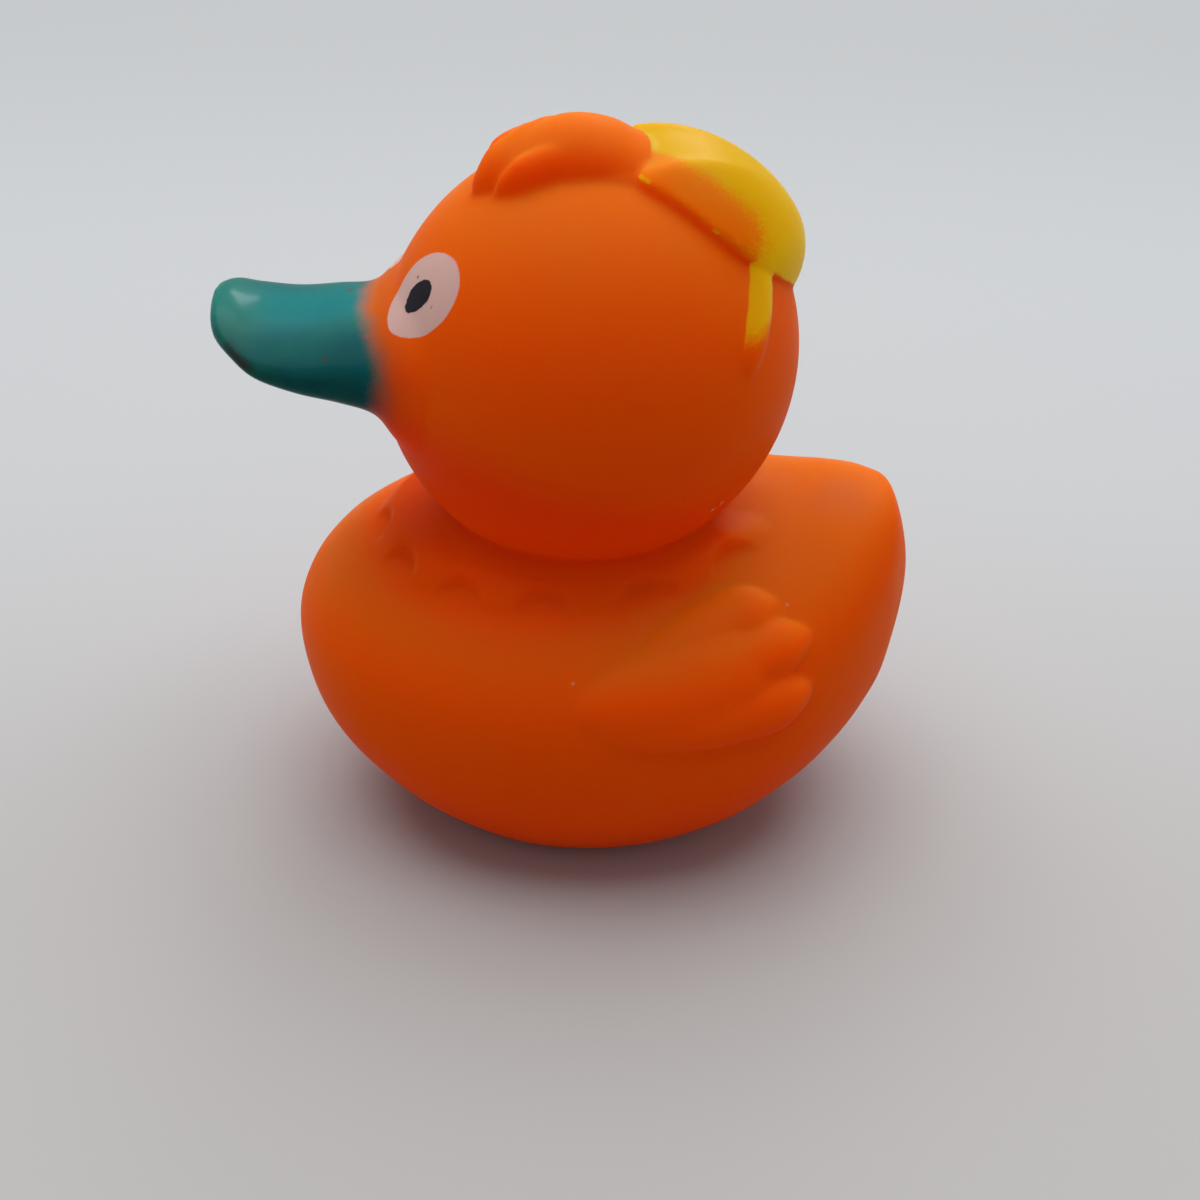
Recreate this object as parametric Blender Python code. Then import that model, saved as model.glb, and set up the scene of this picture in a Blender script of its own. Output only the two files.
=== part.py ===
"""Rubber duck: one hollow piece of soft vinyl with a scalloped collar, feathered wings, a quiff and a cap.

Every form is a closed skin laid out from the driving dimensions below. The forms overlap, are fused into
one skin, softened as a moulding is, cut flat underneath, hollowed out and vented through the base.
Lengths are in metres, +Z is up and the duck faces -Y. Its sides are alike but for the sweep of the quiff.
"""

import math

import bmesh
import bpy
import numpy as np
from mathutils import Vector

MM = 0.001

# Driving dimensions
BODY_LENGTH = 56.2 * MM
BODY_WIDTH = 42.8 * MM
BODY_HEIGHT = 30.6 * MM
HEAD_RADIUS = 18.0 * MM
HEAD_STRETCH = 0.045
HEAD_TILT = 25.0
BILL_LENGTH = 14.4 * MM
BILL_WIDTH = 17.0 * MM
COLLAR_HALF_WIDTH = 14.9 * MM
COLLAR_FRONT = 16.6 * MM
COLLAR_BACK = 20.6 * MM
COLLAR_LIFT = 1.5 * MM
COLLAR_INNER = 0.5
COLLAR_FADE = 0.13
COLLAR_LOBES = 13
COLLAR_END = 0.97
COLLAR_END_FADE = 0.17
ARCH_SHARE = 0.62
ARCH_HEIGHT = 0.10
NECK_RISE = 1.9 * MM
FEATHER_RELIEF = 1.6 * MM
LOCK_RELIEF = 2.4 * MM
CAP_CROWN = 3.3 * MM
CAP_FULLNESS = 2.3
CAP_EDGE = 1.05 * MM
STRAP_RELIEF = 0.6 * MM
WALL = 2.0 * MM
NECK_BORE = 9.5 * MM
VENT_RADIUS = 1.5 * MM

# Derived places
HALF_LENGTH, HALF_WIDTH = BODY_LENGTH / 2, BODY_WIDTH / 2
HEAD_CENTRE = Vector((0.0, -0.031 * BODY_LENGTH, BODY_HEIGHT + 0.8 * HEAD_RADIUS))
HEAD_AXIS = Vector((0.0, math.sin(math.radians(HEAD_TILT)), math.cos(math.radians(HEAD_TILT))))
HEAD_FRONT = HEAD_CENTRE.y - HEAD_RADIUS
COLLAR_CENTRE_Y = -0.068 * BODY_LENGTH
SKIN_DEPTH = 1.6 * MM
COLLAR_DEPTH = 2.0 * SKIN_DEPTH
NECK_SPREAD, NECK_CREASE = 0.79 * HEAD_RADIUS, 0.645 * HEAD_RADIUS
NECK_FOOT, NECK_TOP = BODY_HEIGHT - 3.0 * WALL, HEAD_CENTRE.z - 0.5 * HEAD_RADIUS

# Roundness of the sections, where 2 is an ellipse
BODY_ROUNDNESS = 2.25
BILL_ROUNDNESS = 2.2

# Softness of the sections of locks and feathers
LOCK_SOFTNESS = 1.25
FEATHER_SOFTNESS = 1.2
PAD_SOFTNESS = 1.7

# Fineness of the finished mesh
SKIN_VOXEL, SKIN_SOFTENING, SKIN_TRIANGLES = 0.4 * MM, 4, 9600
HOLLOW_VOXEL, HOLLOW_SOFTENING, HOLLOW_TRIANGLES = 1.2 * MM, 6, 1300
VENT_SIDES = 24

# Body stations: place along the half length and height of the widest line, then the half width,
# the rise above that line and the depth below it, all as shares of the body's own sizes
BODY_STATIONS = (
    (-0.967, 0.578, 0.0, 0.0, 0.0),
    (-0.941, 0.575, 0.230, 0.100, 0.133),
    (-0.867, 0.562, 0.458, 0.208, 0.263),
    (-0.731, 0.547, 0.675, 0.315, 0.378),
    (-0.509, 0.535, 0.872, 0.404, 0.507),
    (-0.215, 0.532, 0.983, 0.464, 0.611),
    (0.108, 0.532, 1.0, 0.464, 0.617),
    (0.401, 0.545, 0.930, 0.456, 0.550),
    (0.620, 0.573, 0.790, 0.430, 0.459),
    (0.767, 0.617, 0.625, 0.415, 0.409),
    (0.878, 0.666, 0.450, 0.376, 0.362),
    (0.958, 0.704, 0.272, 0.292, 0.277),
    (1.020, 0.730, 0.0, 0.0, 0.0),
)

# Bill stations: place beyond the head's front as a share of the bill's length and height of the middle
# above the head's centre, then the half width and the half thickness, as shares of the half width
BILL_STATIONS = (
    (-0.345, 0.0, 1.41, 1.247),
    (-0.099, 0.0, 1.165, 0.80),
    (0.035, 0.035, 1.035, 0.51),
    (0.246, 0.080, 0.982, 0.418),
    (0.486, 0.115, 0.965, 0.324),
    (0.725, 0.215, 0.918, 0.247),
    (0.866, 0.345, 0.776, 0.188),
    (0.972, 0.420, 0.470, 0.129),
    (1.0, 0.450, 0.0, 0.0),
)

# Places on the head: share of the radius out to the side, degrees from the crown towards the back.
# The locks and the strap add a half width as a share of the head's radius and a share of the relief.
TUFT = (
    (0.0, 17.0, 0.21, 0.20),
    (0.0, 9.5, 0.25, 0.64),
    (0.0, 2.5, 0.255, 1.08),
    (0.0, -7.0, 0.25, 1.32),
    (0.0, -16.0, 0.22, 1.08),
    (0.0, -25.0, 0.17, 0.70),
    (0.0, -33.0, 0.0, 0.0),
)
TUFT_ROOT = (
    (0.0, -6.0, 0.20, 0.0),
    (0.0, -1.0, 0.265, 0.34),
    (0.0, 5.0, 0.285, 0.50),
    (0.0, 10.0, 0.285, 0.42),
    (0.0, 16.0, 0.25, 0.10),
)
MIDDLE_LOCK = (
    (-0.15, -3.0, 0.0, 0.0),
    (-0.12, -9.0, 0.10, 1.02),
    (-0.08, -15.0, 0.125, 1.13),
    (-0.03, -21.0, 0.135, 1.08),
    (0.02, -27.5, 0.125, 0.86),
    (0.04, -35.0, 0.0, 0.0),
)
LEFT_LOCK = (
    (0.07, 4.0, 0.0, 0.0),
    (0.095, -2.0, 0.08, 0.55),
    (0.125, -9.0, 0.098, 0.98),
    (0.147, -16.0, 0.090, 1.00),
    (0.167, -22.0, 0.070, 0.84),
    (0.170, -29.0, 0.0, 0.0),
)
RIGHT_LOCK = (
    (-0.26, -5.0, 0.0, 0.0),
    (-0.25, -12.0, 0.06, 0.75),
    (-0.225, -19.0, 0.07, 0.85),
    (-0.165, -26.0, 0.07, 0.75),
    (-0.13, -31.0, 0.0, 0.0),
)
STRAP = (
    (0.30, 46.5, 0.084, 1.0),
    (0.40, 51.0, 0.090, 1.0),
    (0.485, 54.1, 0.090, 1.0),
    (0.60, 59.6, 0.084, 1.0),
    (0.665, 64.6, 0.064, 0.9),
    (0.71, 71.0, 0.0, 0.0),
)

# Half of the cap's rim: its place on the head and a share of the edge's height
CAP_MIDDLE = 46.0
CAP_RIM = (
    (0.0, 12.3, 0.8),
    (0.14, 11.6, 0.85),
    (0.262, 9.2, 1.0),
    (0.330, 16.5, 1.0),
    (0.392, 27.4, 1.0),
    (0.412, 38.3, 1.0),
    (0.372, 48.5, 0.85),
    (0.245, 59.0, 0.5),
    (0.10, 66.0, 0.35),
    (0.0, 68.0, 0.35),
)

# Wing on the body's side: place along the half length and height as a share of the body's height,
# then the half width as a share of that height and a share of the relief
WING_PAD = (
    (-0.110, 0.690, 0.0, 0.0),
    (-0.055, 0.696, 0.075, 0.34),
    (0.060, 0.712, 0.125, 0.70),
    (0.190, 0.738, 0.160, 0.94),
    (0.320, 0.766, 0.165, 1.02),
    (0.430, 0.788, 0.135, 0.90),
    (0.530, 0.800, 0.0, 0.0),
)
LOWER_FEATHER = (
    (-0.080, 0.685, 0.0, 0.0),
    (-0.020, 0.667, 0.050, 0.28),
    (0.060, 0.652, 0.072, 0.48),
    (0.220, 0.648, 0.080, 0.72),
    (0.400, 0.656, 0.082, 0.92),
    (0.545, 0.672, 0.080, 1.0),
    (0.632, 0.690, 0.0, 0.0),
)
MIDDLE_FEATHER = (
    (0.000, 0.735, 0.0, 0.0),
    (0.100, 0.745, 0.050, 0.42),
    (0.240, 0.768, 0.062, 0.72),
    (0.390, 0.793, 0.076, 0.92),
    (0.530, 0.812, 0.084, 1.0),
    (0.630, 0.820, 0.0, 0.0),
)
UPPER_FEATHER = (
    (0.030, 0.785, 0.0, 0.0),
    (0.140, 0.815, 0.060, 0.36),
    (0.260, 0.852, 0.082, 0.60),
    (0.370, 0.879, 0.090, 0.74),
    (0.455, 0.890, 0.080, 0.78),
    (0.525, 0.893, 0.0, 0.0),
)


def clear_scene():
    """Remove whatever the start-up scene holds."""
    for item in list(bpy.data.objects):
        bpy.data.objects.remove(item, do_unlink=True)


def add_object(name, mesh):
    """Link a mesh to the scene as an object and return it."""
    item = bpy.data.objects.new(name, mesh)
    bpy.context.collection.objects.link(item)
    return item


def evaluated_mesh(item):
    """Mesh of an object with its modifiers carried out."""
    graph = bpy.context.evaluated_depsgraph_get()
    return bpy.data.meshes.new_from_object(item.evaluated_get(graph))


def vinyl_material():
    """Soft orange vinyl of the whole moulding."""
    material = bpy.data.materials.new("orange_vinyl")
    material.use_nodes = True
    shader = material.node_tree.nodes["Principled BSDF"]
    shader.inputs["Base Color"].default_value = (0.72, 0.10, 0.012, 1.0)
    shader.inputs["Roughness"].default_value = 0.45
    return material


def spline(rows, steps, places):
    """Smooth curve through rows of numbers, with a rounded end where the sizes shrink to nothing.

    The first columns of a row, as many as places says, hold a place, and the others hold sizes.
    """
    rows = np.array(rows, dtype=float)
    turned = np.array([1.0] * places + [-1.0] * (rows.shape[1] - places))
    t = (np.arange(steps) / steps)[:, None]

    def beyond(end, inner):
        return 2.0 * end - inner if np.any(end[places:]) else inner * turned

    padded = np.vstack([beyond(rows[0], rows[1]), rows, beyond(rows[-1], rows[-2])])
    runs = [b + 0.5 * t * (c - a + t * (2 * a - 5 * b + 4 * c - d + t * (3 * b - a - 3 * c + d)))
            for a, b, c, d in zip(padded, padded[1:], padded[2:], padded[3:])]
    return np.vstack(runs + [rows[-1:]])


def superellipse(angle, roundness):
    """Point of a unit superellipse in the direction of an angle."""
    across, up = math.cos(angle), math.sin(angle)
    power = 2.0 / roundness
    return math.copysign(abs(across) ** power, across), math.copysign(abs(up) ** power, up)


def turns(count):
    """Angles that divide a full turn evenly."""
    return [2.0 * math.pi * i / count for i in range(count)]


def add_skin(form, rings):
    """Skin rings of points into a closed form whose ends are closed by fans."""
    rows = [[form.verts.new(point) for point in ring] for ring in rings]
    count = len(rows[0])
    for lower, upper in zip(rows, rows[1:]):
        for i in range(count):
            j = (i + 1) % count
            form.faces.new((lower[i], lower[j], upper[j], upper[i]))
    for row in (rows[0], rows[-1]):
        middle = form.verts.new(sum((v.co for v in row), Vector()) / count)
        for i in range(count):
            form.faces.new((row[i], row[(i + 1) % count], middle))


def body_rows(inset=0.0, steps=9):
    """Sections of the body: place along Y, height of the widest line, half width, rise and depth."""
    rise = BODY_HEIGHT - inset / max(row[3] for row in BODY_STATIONS)
    sizes = (HALF_LENGTH - inset, BODY_HEIGHT, HALF_WIDTH - inset, rise, rise)
    return spline(BODY_STATIONS, steps, 2) * sizes


BODY_ROWS = body_rows()


def add_body(form, inset=0.0, floor=-BODY_HEIGHT, sides=120):
    """Hull of the body, in sections along Y, no lower than a floor."""
    rings = []
    for y, middle, half, rise, depth in body_rows(inset)[1:-1]:
        shares = [superellipse(angle, BODY_ROUNDNESS) for angle in turns(sides)]
        rings.append([Vector((half * across, y, max(floor, middle + (rise if up > 0 else depth) * up)))
                      for across, up in shares])
    add_skin(form, rings)


def body_section(y):
    """Height of the widest line, half width, rise and depth of the body at a place along Y."""
    return [float(np.interp(y, BODY_ROWS[:, 0], column)) for column in BODY_ROWS.T[1:]]


def body_top(x, y):
    """Point of the body's upper surface."""
    middle, half, rise, _ = body_section(y)
    share = max(0.0, 1.0 - (abs(x) / half) ** BODY_ROUNDNESS)
    return Vector((x, y, middle + rise * share ** (1.0 / BODY_ROUNDNESS)))


def body_side(y, z):
    """Half width of the body at a place along Y and at a height."""
    middle, half, rise, depth = body_section(y)
    share = abs(z - middle) / (rise if z > middle else depth)
    return half * max(0.0, 1.0 - share ** BODY_ROUNDNESS) ** (1.0 / BODY_ROUNDNESS)


def over_body(point):
    """Point of the body's left side level with a nearby point, and the direction out of the surface there."""
    step = 0.5 * MM
    _, y, z = point
    out = Vector((2.0 * step, body_side(y - step, z) - body_side(y + step, z),
                  body_side(y, z - step) - body_side(y, z + step)))
    return Vector((body_side(y, z), y, z)), out.normalized()


def head_direction(side, back):
    """Direction from the head's centre: a share out to the side, degrees from the crown to the back."""
    reach = math.sqrt(1.0 - side * side)
    return Vector((side, reach * math.sin(math.radians(back)), reach * math.cos(math.radians(back))))


def over_centre(out, height=0.0):
    """Point at a height over the head in a direction from its centre: the head is longest along its axis."""
    return HEAD_CENTRE + out * (HEAD_RADIUS * (1.0 + HEAD_STRETCH * out.dot(HEAD_AXIS) ** 2) + height)


def head_point(side, back, height=0.0):
    """Point at a height over the head."""
    return over_centre(head_direction(side, back), height)


def over_head(point):
    """Point of the head's surface under a nearby point, and the direction out of the head there."""
    out = (point - HEAD_CENTRE).normalized()
    return over_centre(out), out


def add_head(form, inset=0.0, sides=120):
    """Head, a ball a little longer towards the back of its crown than across."""
    rings = []
    for level in range(1, sides // 2):
        tilt = math.pi * level / (sides // 2)
        rings.append([over_centre(Vector((math.sin(tilt) * math.cos(t), math.sin(tilt) * math.sin(t),
                                          math.cos(tilt))), -inset) for t in turns(sides)])
    add_skin(form, rings)


def add_bill(form, sides=72):
    """Wide flat bill that spreads into the head and turns up at its tip."""
    half_width = BILL_WIDTH / 2
    rings = []
    for along, lift, wide, thick in spline(BILL_STATIONS, 8, 2)[:-1]:
        centre = Vector((0.0, HEAD_FRONT - along * BILL_LENGTH, HEAD_CENTRE.z + lift * half_width))
        shares = [superellipse(angle, BILL_ROUNDNESS) for angle in turns(sides)]
        rings.append([centre + half_width * Vector((wide * across, 0.0, thick * up))
                      for across, up in shares])
    add_skin(form, rings)


def collar_edge(angle):
    """Reach of the collar at an angle, full at the tips of the lobes and less in the arches between them."""
    pitch = 2.0 * math.pi / COLLAR_LOBES
    offset = abs((angle + pitch / 2) % pitch - pitch / 2) / (ARCH_SHARE * pitch / 2)
    return 1.0 - ARCH_HEIGHT * math.sqrt(max(0.0, 1.0 - offset ** 2))


def collar_point(angle, reach, lift):
    """Point over the shoulders, where reach 1 is the ring of the lobes' tips."""
    half_length = COLLAR_FRONT if math.cos(angle) > 0.0 else COLLAR_BACK
    x = COLLAR_HALF_WIDTH * reach * math.sin(angle)
    y = COLLAR_CENTRE_Y - half_length * reach * math.cos(angle)
    return body_top(x, y) + Vector((0.0, 0.0, lift))


def collar_lift(angle, reach):
    """Height of the collar over the shoulders, sinking to nothing at the tips and right behind the head."""
    ahead = min(1.0, max(0.0, (COLLAR_END + math.cos(angle)) / COLLAR_END_FADE))
    return COLLAR_LIFT * ahead * math.sin(0.5 * math.pi * min(1.0, (1.0 - reach) / COLLAR_FADE))


def neck_rise(point):
    """Height that the collar gains as it sweeps up into the head."""
    away = math.hypot(point.x, point.y - HEAD_CENTRE.y)
    share = min(1.3, max(0.0, (NECK_SPREAD - away) / (NECK_SPREAD - NECK_CREASE)))
    return Vector((0.0, 0.0, NECK_RISE * share ** 3))


def add_collar(form, around=504, across=20):
    """Scalloped collar, a sheet proud of the shoulders in the arches and flush with them at the tips."""
    upper, lower = [], []
    for level in range(across + 1):
        share = level / across
        places = [(angle, COLLAR_INNER + share * (collar_edge(angle) - COLLAR_INNER))
                  for angle in turns(around)]
        crown = [collar_point(angle, reach, collar_lift(angle, reach)) for angle, reach in places]
        upper.append([point + neck_rise(point) for point in crown])
        lower.append([collar_point(angle, reach, -COLLAR_DEPTH) for angle, reach in places])
    add_skin(form, upper + lower[::-1])


def strand_rings(path, drape, softness, sides=20):
    """Sections of a raised strand draped over a surface, along rows of point, half width and height.

    Softness 1 makes the section half an ellipse, and more lets it run out softly at both edges.
    """
    rings = []
    for i, (point, half, height) in enumerate(path):
        ahead = path[min(i + 1, len(path) - 1)][0] - path[max(i - 1, 0)][0]
        across = drape(point)[1].cross(ahead).normalized()
        ring = []
        for t in turns(sides):
            foot, out = drape(point + across * half * math.cos(t))
            swell = height * math.sin(t) ** softness if t < math.pi else SKIN_DEPTH * math.sin(t)
            ring.append(foot + out * swell)
        rings.append(ring)
    return rings


def mirrored(rings):
    """The same sections on the duck's other side."""
    return [[Vector((-point.x, point.y, point.z)) for point in ring] for ring in rings]


def head_strand(stations, relief, softness):
    """Sections of a strand over the head from its stations."""
    path = [(head_point(side, back), share * HEAD_RADIUS, rise * relief)
            for side, back, share, rise in spline(stations, 5, 2)[1:-1]]
    return strand_rings(path, over_head, softness)


def wing_strand(stations, softness):
    """Sections of a strand over the body's left side from its stations."""
    rows = spline(stations, 5, 2)[1:-1] * (HALF_LENGTH, BODY_HEIGHT, BODY_HEIGHT, FEATHER_RELIEF)
    path = [(Vector((body_side(y, z), y, z)), half, relief) for y, z, half, relief in rows]
    return strand_rings(path, over_body, softness)


def add_wings(form):
    """Both wings, each a soft pad with three feathers that rise towards their rounded tips."""
    for stations, softness in ((WING_PAD, PAD_SOFTNESS), (UPPER_FEATHER, PAD_SOFTNESS),
                               (MIDDLE_FEATHER, FEATHER_SOFTNESS), (LOWER_FEATHER, FEATHER_SOFTNESS)):
        rings = wing_strand(stations, softness)
        add_skin(form, rings)
        add_skin(form, mirrored(rings))


def add_quiff(form):
    """Quiff: a broad tuft in front of the cap, with three locks that sweep over its front to the left."""
    for stations in (TUFT, TUFT_ROOT, MIDDLE_LOCK, LEFT_LOCK, RIGHT_LOCK):
        add_skin(form, head_strand(stations, LOCK_RELIEF, LOCK_SOFTNESS))


def add_cap(form, levels=8):
    """Small domed cap with a straight front edge, over the back of the head, with its crisp rim."""
    half_rim = [tuple(row) for row in spline(CAP_RIM, 4, 3)]
    rim = half_rim + [(-side, back, edge) for side, back, edge in half_rim[-2:0:-1]]
    crown, base = [], []
    for level in range(1, levels + 1):
        share = level / levels
        bulge = 1.0 - share ** CAP_FULLNESS
        places = [(share * side, CAP_MIDDLE + share * (back - CAP_MIDDLE), edge * CAP_EDGE)
                  for side, back, edge in rim]
        crown.append([head_point(side, back, edge + (CAP_CROWN - edge) * bulge)
                      for side, back, edge in places])
        base.append([head_point(side, back, -SKIN_DEPTH) for side, back, _ in places])
    add_skin(form, crown + base[::-1])


def add_straps(form):
    """Straps of the cap that taper down both sides of the head."""
    strap = head_strand(STRAP, STRAP_RELIEF, 1.0)
    add_skin(form, strap)
    add_skin(form, mirrored(strap))


def add_neck_bore(form, sides=48):
    """Round passage that joins the hollows of the head and the body."""
    add_skin(form, [[Vector((NECK_BORE * math.cos(t), HEAD_CENTRE.y + NECK_BORE * math.sin(t), height))
                     for t in turns(sides)] for height in (NECK_FOOT, NECK_TOP)])


def fuse(name, form, voxel, softening, triangles):
    """Fuse overlapping closed forms into one soft skin of about a given number of triangles."""
    bmesh.ops.recalc_face_normals(form, faces=form.faces)
    mesh = bpy.data.meshes.new(name)
    form.to_mesh(mesh)
    form.free()
    item = add_object(name, mesh)
    remesh = item.modifiers.new("fuse", "REMESH")
    remesh.mode = "VOXEL"
    remesh.voxel_size = voxel
    soften = item.modifiers.new("soften", "SMOOTH")
    soften.iterations = softening
    fine = evaluated_mesh(item)
    fine.calc_loop_triangles()
    thin = item.modifiers.new("thin", "DECIMATE")
    thin.ratio = triangles / len(fine.loop_triangles)
    bpy.data.meshes.remove(fine)
    return item


def make_skin():
    """Outer skin of the whole duck."""
    form = bmesh.new()
    add_body(form)
    add_head(form)
    add_bill(form)
    add_collar(form)
    add_wings(form)
    add_quiff(form)
    add_cap(form)
    add_straps(form)
    return fuse("skin", form, SKIN_VOXEL, SKIN_SOFTENING, SKIN_TRIANGLES)


def make_hollow():
    """Hollow inside the body and the head."""
    form = bmesh.new()
    add_body(form, WALL, WALL)
    add_head(form, WALL)
    add_neck_bore(form)
    return fuse("hollow", form, HOLLOW_VOXEL, HOLLOW_SOFTENING, HOLLOW_TRIANGLES)


def make_block(name):
    """Block under the table line that cuts the base flat."""
    form = bmesh.new()
    bmesh.ops.create_cube(form, size=2.0 * BODY_LENGTH)
    bmesh.ops.translate(form, verts=form.verts, vec=(0.0, 0.0, -BODY_LENGTH))
    mesh = bpy.data.meshes.new(name)
    form.to_mesh(mesh)
    form.free()
    return add_object(name, mesh)


def make_vent(name):
    """Round pin that cuts the vent through the base."""
    form = bmesh.new()
    bmesh.ops.create_cone(form, cap_ends=True, segments=VENT_SIDES, radius1=VENT_RADIUS, radius2=VENT_RADIUS,
                          depth=6.0 * WALL)
    mesh = bpy.data.meshes.new(name)
    form.to_mesh(mesh)
    form.free()
    return add_object(name, mesh)


def cut(item, cutter):
    """Take a cutter's form out of an item."""
    cutter.hide_render = True
    cutter.display_type = "WIRE"
    step = item.modifiers.new(cutter.name, "BOOLEAN")
    step.operation = "DIFFERENCE"
    step.solver = "EXACT"
    step.object = cutter


def settle(mesh):
    """Move a mesh so that the middle of its base's outline box stands on the origin."""
    points = np.array([v.co[:] for v in mesh.vertices])
    low, high = points.min(axis=0), points.max(axis=0)
    middle = 0.5 * (low + high)
    for vertex in mesh.vertices:
        vertex.co -= Vector((middle[0], middle[1], low[2]))


def build():
    """Make the duck and leave it as the scene's one object."""
    skin = make_skin()
    for cutter in (make_block("base"), make_hollow(), make_vent("vent")):
        cut(skin, cutter)
    mesh = evaluated_mesh(skin)
    clear_scene()
    settle(mesh)
    mesh.materials.clear()
    mesh.materials.append(vinyl_material())
    mesh.polygons.foreach_set("use_smooth", [True] * len(mesh.polygons))
    add_object("rubber_duck", mesh)


clear_scene()
build()
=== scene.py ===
"""Rubber duck of soft orange vinyl with a painted bill, cap and eyes, in its studio.

The duck's skin is made again from the part's driving dimensions, finer than the part's solid, and it stands
for that solid. Lengths are in metres, +Z is up, the duck faces -Y and its own left side is towards +X.
"""

import logging
import math
from dataclasses import dataclass, field
from enum import Enum
from typing import Any

import bmesh
import bpy
import numpy as np
from mathutils import Euler, Matrix, Vector

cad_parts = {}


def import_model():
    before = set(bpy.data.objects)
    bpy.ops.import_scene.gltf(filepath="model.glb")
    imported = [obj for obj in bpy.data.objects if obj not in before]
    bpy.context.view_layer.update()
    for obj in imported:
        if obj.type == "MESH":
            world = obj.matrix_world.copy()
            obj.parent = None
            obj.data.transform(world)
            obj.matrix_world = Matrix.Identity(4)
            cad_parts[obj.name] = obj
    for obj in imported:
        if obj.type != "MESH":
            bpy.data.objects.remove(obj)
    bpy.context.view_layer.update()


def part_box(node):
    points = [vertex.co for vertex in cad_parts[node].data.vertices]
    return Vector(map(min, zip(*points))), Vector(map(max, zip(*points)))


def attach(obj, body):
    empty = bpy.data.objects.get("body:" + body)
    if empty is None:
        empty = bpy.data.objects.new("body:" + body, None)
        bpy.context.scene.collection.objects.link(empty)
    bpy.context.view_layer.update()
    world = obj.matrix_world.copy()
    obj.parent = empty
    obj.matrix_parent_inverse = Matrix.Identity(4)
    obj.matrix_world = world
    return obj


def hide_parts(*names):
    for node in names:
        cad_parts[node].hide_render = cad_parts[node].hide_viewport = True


MM = 0.001

# Points that each stretch of a strand's path and of the cap's rim gets
STRAND_STEPS = 9
RIM_STEPS = 8
# Size of the raggedness of a spot's edge as a share of its radius
RAGGED_SHARE = 1.0 / 1.2

Row = tuple[float, ...]
Rows = tuple[Row, ...]
Ring = list[Vector]
Place = tuple[float, float, float]
Colour = tuple[float, float, float]
Pair = tuple[float, float]
Socket = bpy.types.NodeSocket

log = logging.getLogger("duck")


class Side(Enum):
    """Side of the duck that a form is on, as the sign of its X."""

    LEFT = 1.0
    RIGHT = -1.0


# Body stations: place along the half length and height of the widest line, then the half width,
# the rise above that line and the depth below it, all as shares of the body's own sizes
BODY_STATIONS: Rows = (
    (-0.967, 0.578, 0.0, 0.0, 0.0),
    (-0.941, 0.575, 0.230, 0.100, 0.133),
    (-0.867, 0.562, 0.458, 0.208, 0.263),
    (-0.731, 0.547, 0.675, 0.315, 0.378),
    (-0.509, 0.535, 0.872, 0.404, 0.507),
    (-0.215, 0.532, 0.983, 0.464, 0.611),
    (0.108, 0.532, 1.0, 0.464, 0.617),
    (0.401, 0.545, 0.930, 0.456, 0.550),
    (0.620, 0.573, 0.790, 0.430, 0.459),
    (0.767, 0.617, 0.625, 0.415, 0.409),
    (0.878, 0.666, 0.450, 0.376, 0.362),
    (0.958, 0.704, 0.272, 0.292, 0.277),
    (1.020, 0.730, 0.0, 0.0, 0.0),
)

# Bill stations: place beyond the head's front as a share of the bill's length and height of the middle
# above the head's centre, then the half width and the half thickness, as shares of the half width
BILL_STATIONS: Rows = (
    (-0.345, 0.0, 1.41, 1.247),
    (-0.099, 0.0, 1.165, 0.80),
    (0.035, 0.035, 1.035, 0.51),
    (0.246, 0.080, 0.982, 0.418),
    (0.486, 0.115, 0.965, 0.324),
    (0.725, 0.215, 0.918, 0.247),
    (0.866, 0.345, 0.776, 0.188),
    (0.972, 0.420, 0.470, 0.129),
    (1.0, 0.450, 0.0, 0.0),
)

# Strands on the head: share of the radius out to the side, degrees from the crown towards the back,
# then the half width as a share of the radius and a share of the strand's relief
TUFT: Rows = (
    (0.0, 17.0, 0.21, 0.20),
    (0.0, 9.5, 0.25, 0.64),
    (0.0, 2.5, 0.255, 1.08),
    (0.0, -7.0, 0.25, 1.32),
    (0.0, -16.0, 0.22, 1.08),
    (0.0, -25.0, 0.17, 0.70),
    (0.0, -33.0, 0.0, 0.0),
)
TUFT_ROOT: Rows = (
    (0.0, -6.0, 0.20, 0.0),
    (0.0, -1.0, 0.265, 0.34),
    (0.0, 5.0, 0.285, 0.50),
    (0.0, 10.0, 0.285, 0.42),
    (0.0, 16.0, 0.25, 0.10),
)
MIDDLE_LOCK: Rows = (
    (-0.15, -3.0, 0.0, 0.0),
    (-0.12, -9.0, 0.10, 1.02),
    (-0.08, -15.0, 0.125, 1.13),
    (-0.03, -21.0, 0.135, 1.08),
    (0.02, -27.5, 0.125, 0.86),
    (0.04, -35.0, 0.0, 0.0),
)
LEFT_LOCK: Rows = (
    (0.07, 4.0, 0.0, 0.0),
    (0.095, -2.0, 0.08, 0.55),
    (0.125, -9.0, 0.098, 0.98),
    (0.147, -16.0, 0.090, 1.00),
    (0.167, -22.0, 0.070, 0.84),
    (0.170, -29.0, 0.0, 0.0),
)
RIGHT_LOCK: Rows = (
    (-0.26, -5.0, 0.0, 0.0),
    (-0.25, -12.0, 0.06, 0.75),
    (-0.225, -19.0, 0.07, 0.85),
    (-0.165, -26.0, 0.07, 0.75),
    (-0.13, -31.0, 0.0, 0.0),
)
STRAP: Rows = (
    (0.30, 46.5, 0.084, 1.0),
    (0.40, 51.0, 0.090, 1.0),
    (0.485, 54.1, 0.090, 1.0),
    (0.60, 59.6, 0.084, 1.0),
    (0.665, 64.6, 0.064, 0.9),
    (0.71, 71.0, 0.0, 0.0),
)

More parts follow.
